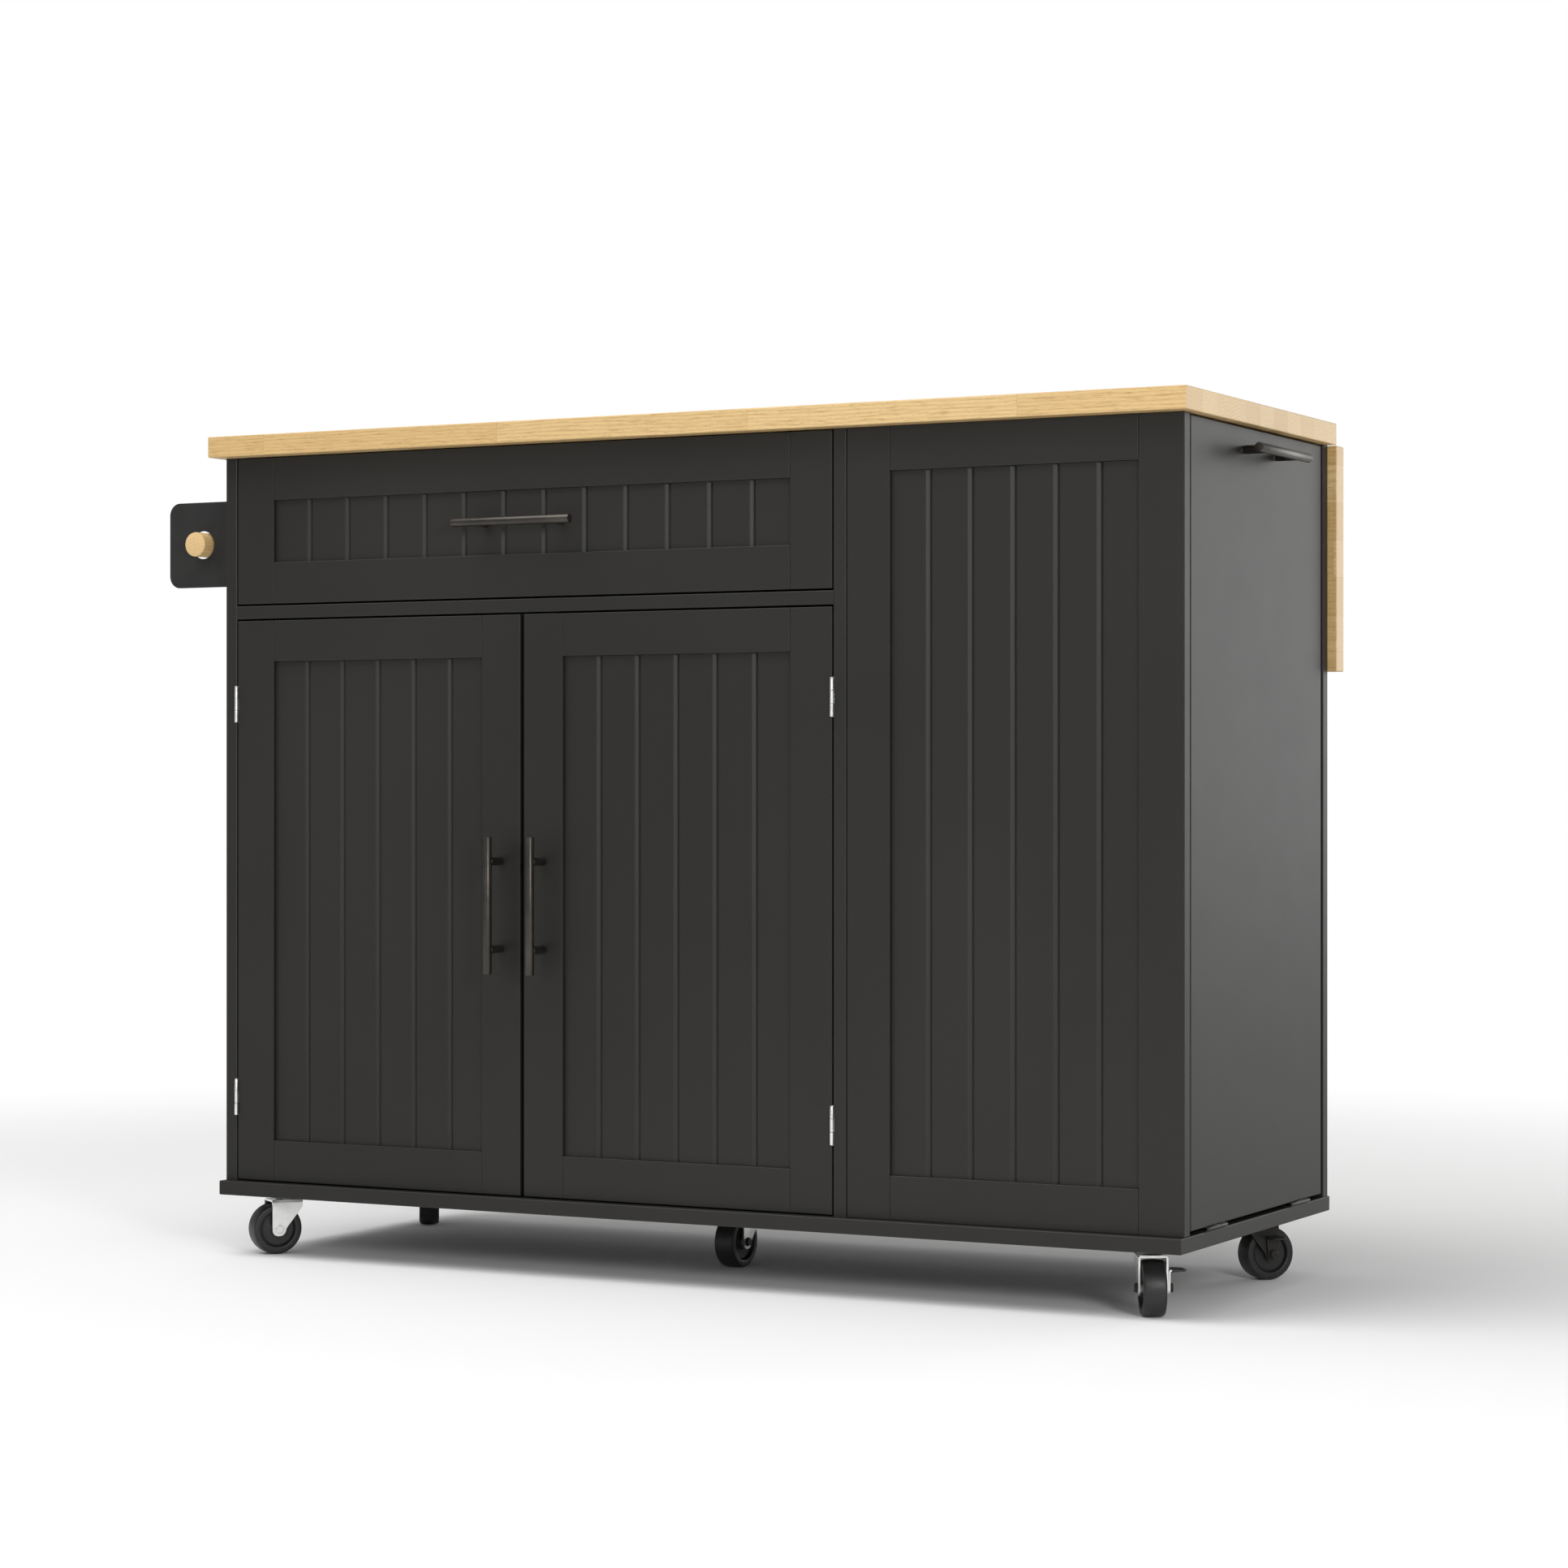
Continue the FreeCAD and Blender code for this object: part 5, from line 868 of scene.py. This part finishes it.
fork_sheet, fork_top, fold_line, plate_under = 2.0, 62.0, 12.2, 67.0
bolt_radius, bolt_reach, bolt_centre = 2.95, 15.0, Matrix.Translation((15, 0, 29))
axle = bolt_centre @ Matrix.Rotation(-math.pi / 2, 4, "X")
plates = bmesh.new()
plate_screws = []
for place, (x, y, angle, hand) in casters.items():
    here = Matrix.Translation((x, y, 0)) @ Matrix.Rotation(math.radians(angle), 4, "Z")
    square = rounded_box(x - 25, x + 25, y - 25, y + 25, 6)
    plate(plates, square, 2.0, Matrix.Translation((0, 0, plate_under)))
    turned(plates, [(0, 62.3), (10, 62.3), (13.2, 62.4), (14.8, 62.9), (15.6, 63.8), (16, 65.0), (16, 66.2),
                    (15.6, plate_under), (0, plate_under)], Matrix.Translation((x, y, 0)), 56)
    turned(plates, [(0, 57.7), (4.5, 57.7), (5.6, 58.2), (6, 59.0), (6, 59.7), (3.9, 59.7), (3.9, 62.5), (0, 62.5)],
           Matrix.Translation((x, y, 0)), 40)
    for out_x in (-18, 18):
        for out_y in (-18, 18):
            plate_screws.append(((x + out_x, y + out_y, plate_under), (0, 0, -1)))

    fork = bmesh.new()
    leg = [(0, 23, 0), (53.34, 23, 7), (53.34, 7, 7), (45.34, 7, 9), (20.34, -13, 3), (0, -13, 0)]
    blank = leg[:-1] + [(-u, v, r) for u, v, r in leg[::-1][1:-1]]
    plate(fork, rounded(blank, 7), fork_sheet, Matrix())
    fold(fork, fold_line, 1.0, fork_sheet)
    move(fork, Matrix.Rotation(math.pi, 4, "Z"))
    fold(fork, fold_line, 1.0, fork_sheet)
    move(fork, Matrix(((0, -1, 0, 0), (1, 0, 0, 0), (0, 0, -1, fork_top), (0, 0, 0, 1))))
    for out in (-1, 1):
        boss = [(0, 13.2), (6, 13.2), (6, 9.8), (5.6, 9.7), (0, 9.7)]
        turned(fork, [(radius, out * reach) for radius, reach in boss], axle, 40)
    turned(fork, [(0, -bolt_reach), (bolt_radius, -bolt_reach), (bolt_radius, bolt_reach), (0, bolt_reach)], axle, 32)
    move(fork, here)
    # The rear right fork takes the blackened steel: painted shade on a zinc fork that sits in shade under the
    # cabinet.
    fork_finish = black_nuts_and_shaded_fork if place == "rear_right" else bright_zinc
    stand("caster_%s_fork_legs" % place, finished(fork, "fork_shape", 0.3, 2), fork_finish, "fork_" + place,
          "dark_steel" if place == "rear_right" else "bright_steel", "caster_%s_fork" % place)

    ends = bmesh.new()
    for out in (-1, 1):
        start = 15.2 + (2.6 if out == hand else 0.0)
        outward = bolt_centre @ Matrix.Rotation(-out * math.pi / 2, 4, "X")
        turned(ends, [(0, start), (4.9, start), (4.9, start + 0.5), (0, start + 0.5)], outward, 40)
        turned(ends, [(0, start + 0.5), (4.5, start + 0.5), (4.9, start + 0.8), (4.9, start + 2.6),
                      (4.4, start + 3.0), (0, start + 3.0)], outward, 6)
        if out == hand:
            turned(ends, [(0, bolt_reach), (bolt_radius, bolt_reach), (bolt_radius, start), (0, start)], outward, 32)
    move(ends, here)
    stand("caster_%s_bolt_ends" % place, finished(ends, "bolt_ends"),
          bright_zinc if place == "front_left" else black_nuts_and_shaded_fork, "fork_" + place,
          "bright_steel" if place == "front_left" else "dark_steel")

    wheel = bmesh.new()
    turned(wheel, wheel_profile(), here @ axle, 96, closed=True)
    stand("caster_%s_tyre" % place, finished(wheel, "tyre_shape"), tyre, "wheel_" + place, "wheel_plastic",
          "caster_%s_wheel" % place)

    if hand:
        lever = bmesh.new()
        outline = [(9, 23, 4), (21, 23, 4), (23, 45, 3), (23, 63.4, 4), (7, 63.4, 4), (7, 45, 3)]
        plate(lever, [(v, -u) for u, v in rounded(outline, 6)], 2.0, Matrix())
        fold(lever, 45.4, 0.6, 2.0)
        # the blank's length becomes height, its width runs back along the fork, and the tab points out
        stood = Matrix(((0, -1, 0, 0), (0, 0, hand, hand * 15.5), (1, 0, 0, 0), (0, 0, 0, 1)))
        move(lever, here @ stood)
        # On the rear right caster the lever wears the fork's painted shade too.
        stand("caster_%s_lever" % place, finished(lever, "lever_shape", 0.4, 2), fork_finish, "brake_" + place,
              "wheel_plastic", "caster_%s_brake" % place)
        sleeve = bmesh.new()
        plate(sleeve, rounded([(6.4, 18.6, 1), (23.6, 18.6, 1), (23.6, 34, 5), (6.4, 34, 5)]), 3.6, Matrix())
        for vert in sleeve.verts:
            vert.co.z = 47.0 + (vert.co.z - 1.8) * (1.0 - 0.035 * (vert.co.y - 18.6))
            vert.co.y *= hand
        move(sleeve, here)
        stand("caster_%s_lever_sleeve" % place, finished(sleeve, "sleeve_shape", 0.7, 3), black_plastic,
              "brake_" + place, "wheel_plastic")
stand("caster_plate_set", finished(plates, "caster_plate_shape", 0.25, 1), bright_zinc, "cabinet", "bright_steel",
      "caster_plates")
screws("caster_plate_screws", plate_screws, 7.5, bright_zinc, "cabinet", "bright_steel")


# Studio: a plain pale floor that runs out to white, a white surround, four soft lamps and the camera
# at the photograph's own viewing angle. The lamp behind at the right grazes the end door.

floor_mesh = bpy.data.meshes.new("studio_floor")
floor_bm = bmesh.new()
floor_reach, floor_sides = 14.0, 96
angles = [2 * math.pi * k / floor_sides for k in range(floor_sides)]
floor_bm.faces.new([floor_bm.verts.new((floor_reach * math.cos(a), floor_reach * math.sin(a), 0)) for a in angles])
floor_bm.to_mesh(floor_mesh)
floor_bm.free()
floor = bpy.data.objects.new("studio_floor", floor_mesh)
bpy.context.scene.collection.objects.link(floor)
pale = Finish("studio_floor_pale")
away = pale.node("ShaderNodeVectorMath", {"operation": "LENGTH"}, {0: pale.place}).outputs["Value"]
grounded = pale.node("ShaderNodeBsdfDiffuse", None, {"Color": (0.95, 0.95, 0.95, 1.0)})
white = pale.node("ShaderNodeEmission", None, {"Color": (1, 1, 1, 1), "Strength": 1.0})
ray = pale.node("ShaderNodeLightPath").outputs
share = pale.between(Reading(pale, away), 1.1, 2.7) * Reading(pale, ray["Is Camera Ray"])
mixed = pale.node("ShaderNodeMixShader", None, {0: share, 1: grounded.outputs[0], 2: white.outputs[0]})
pale.node("ShaderNodeOutputMaterial", None, {"Surface": mixed.outputs[0]})
floor_mesh.materials.append(pale.material)

world = bpy.data.worlds.new("studio")
bpy.context.scene.world = world
world.use_nodes = True
around = Nodes(world.node_tree)
around.tree.nodes.clear()
ray = around.node("ShaderNodeLightPath").outputs
direct = around.sum("MAXIMUM", Reading(around, ray["Is Camera Ray"]), Reading(around, ray["Is Transmission Ray"]))
fill = around.node("ShaderNodeBackground", None, {"Color": (1, 1, 1, 1), "Strength": 0.40})
clear = around.node("ShaderNodeBackground", None, {"Color": (1, 1, 1, 1), "Strength": 1.0})
both = around.node("ShaderNodeMixShader", None, {0: direct, 1: fill.outputs[0], 2: clear.outputs[0]})
around.node("ShaderNodeOutputWorld", None, {"Surface": both.outputs[0]})


def lamp(name, place, target, side, power):
    light = bpy.data.lights.new(name, "AREA")
    light.shape = "SQUARE"
    light.size = side
    light.energy = power
    holder = bpy.data.objects.new(name, light)
    holder.location = place
    holder.rotation_euler = (Vector(target) - Vector(place)).to_track_quat("-Z", "Y").to_euler()
    bpy.context.scene.collection.objects.link(holder)


lamp("key_top_left", (-0.9, -1.2, 3.5), (0.0, 0.0, 0.4), 3.0, 98.0)
lamp("low_front", (-0.3, -3.7, 0.9), (0.3, 0.0, 0.5), 0.7, 4.0)
lamp("fill_front_right", (2.9, -2.6, 1.3), (0.0, 0.0, 0.5), 0.7, 45.0)
lamp("rim_back_right", (1.95, 3.45, 1.05), (0.5, 0.0, 0.6), 1.7, 23.0)

camera = bpy.data.cameras.new("photo_view")
camera.lens = 84.74
camera.sensor_width = 36.0
camera.clip_end = 100.0
viewer = bpy.data.objects.new("photo_view", camera)
viewer.location = (1.97087, -3.64304, 0.53670)
viewer.rotation_euler = (math.radians(90), 0.0, math.radians(27.733))
bpy.context.scene.collection.objects.link(viewer)
bpy.context.scene.camera = viewer

view = bpy.context.scene.view_settings
view.view_transform = "Standard"
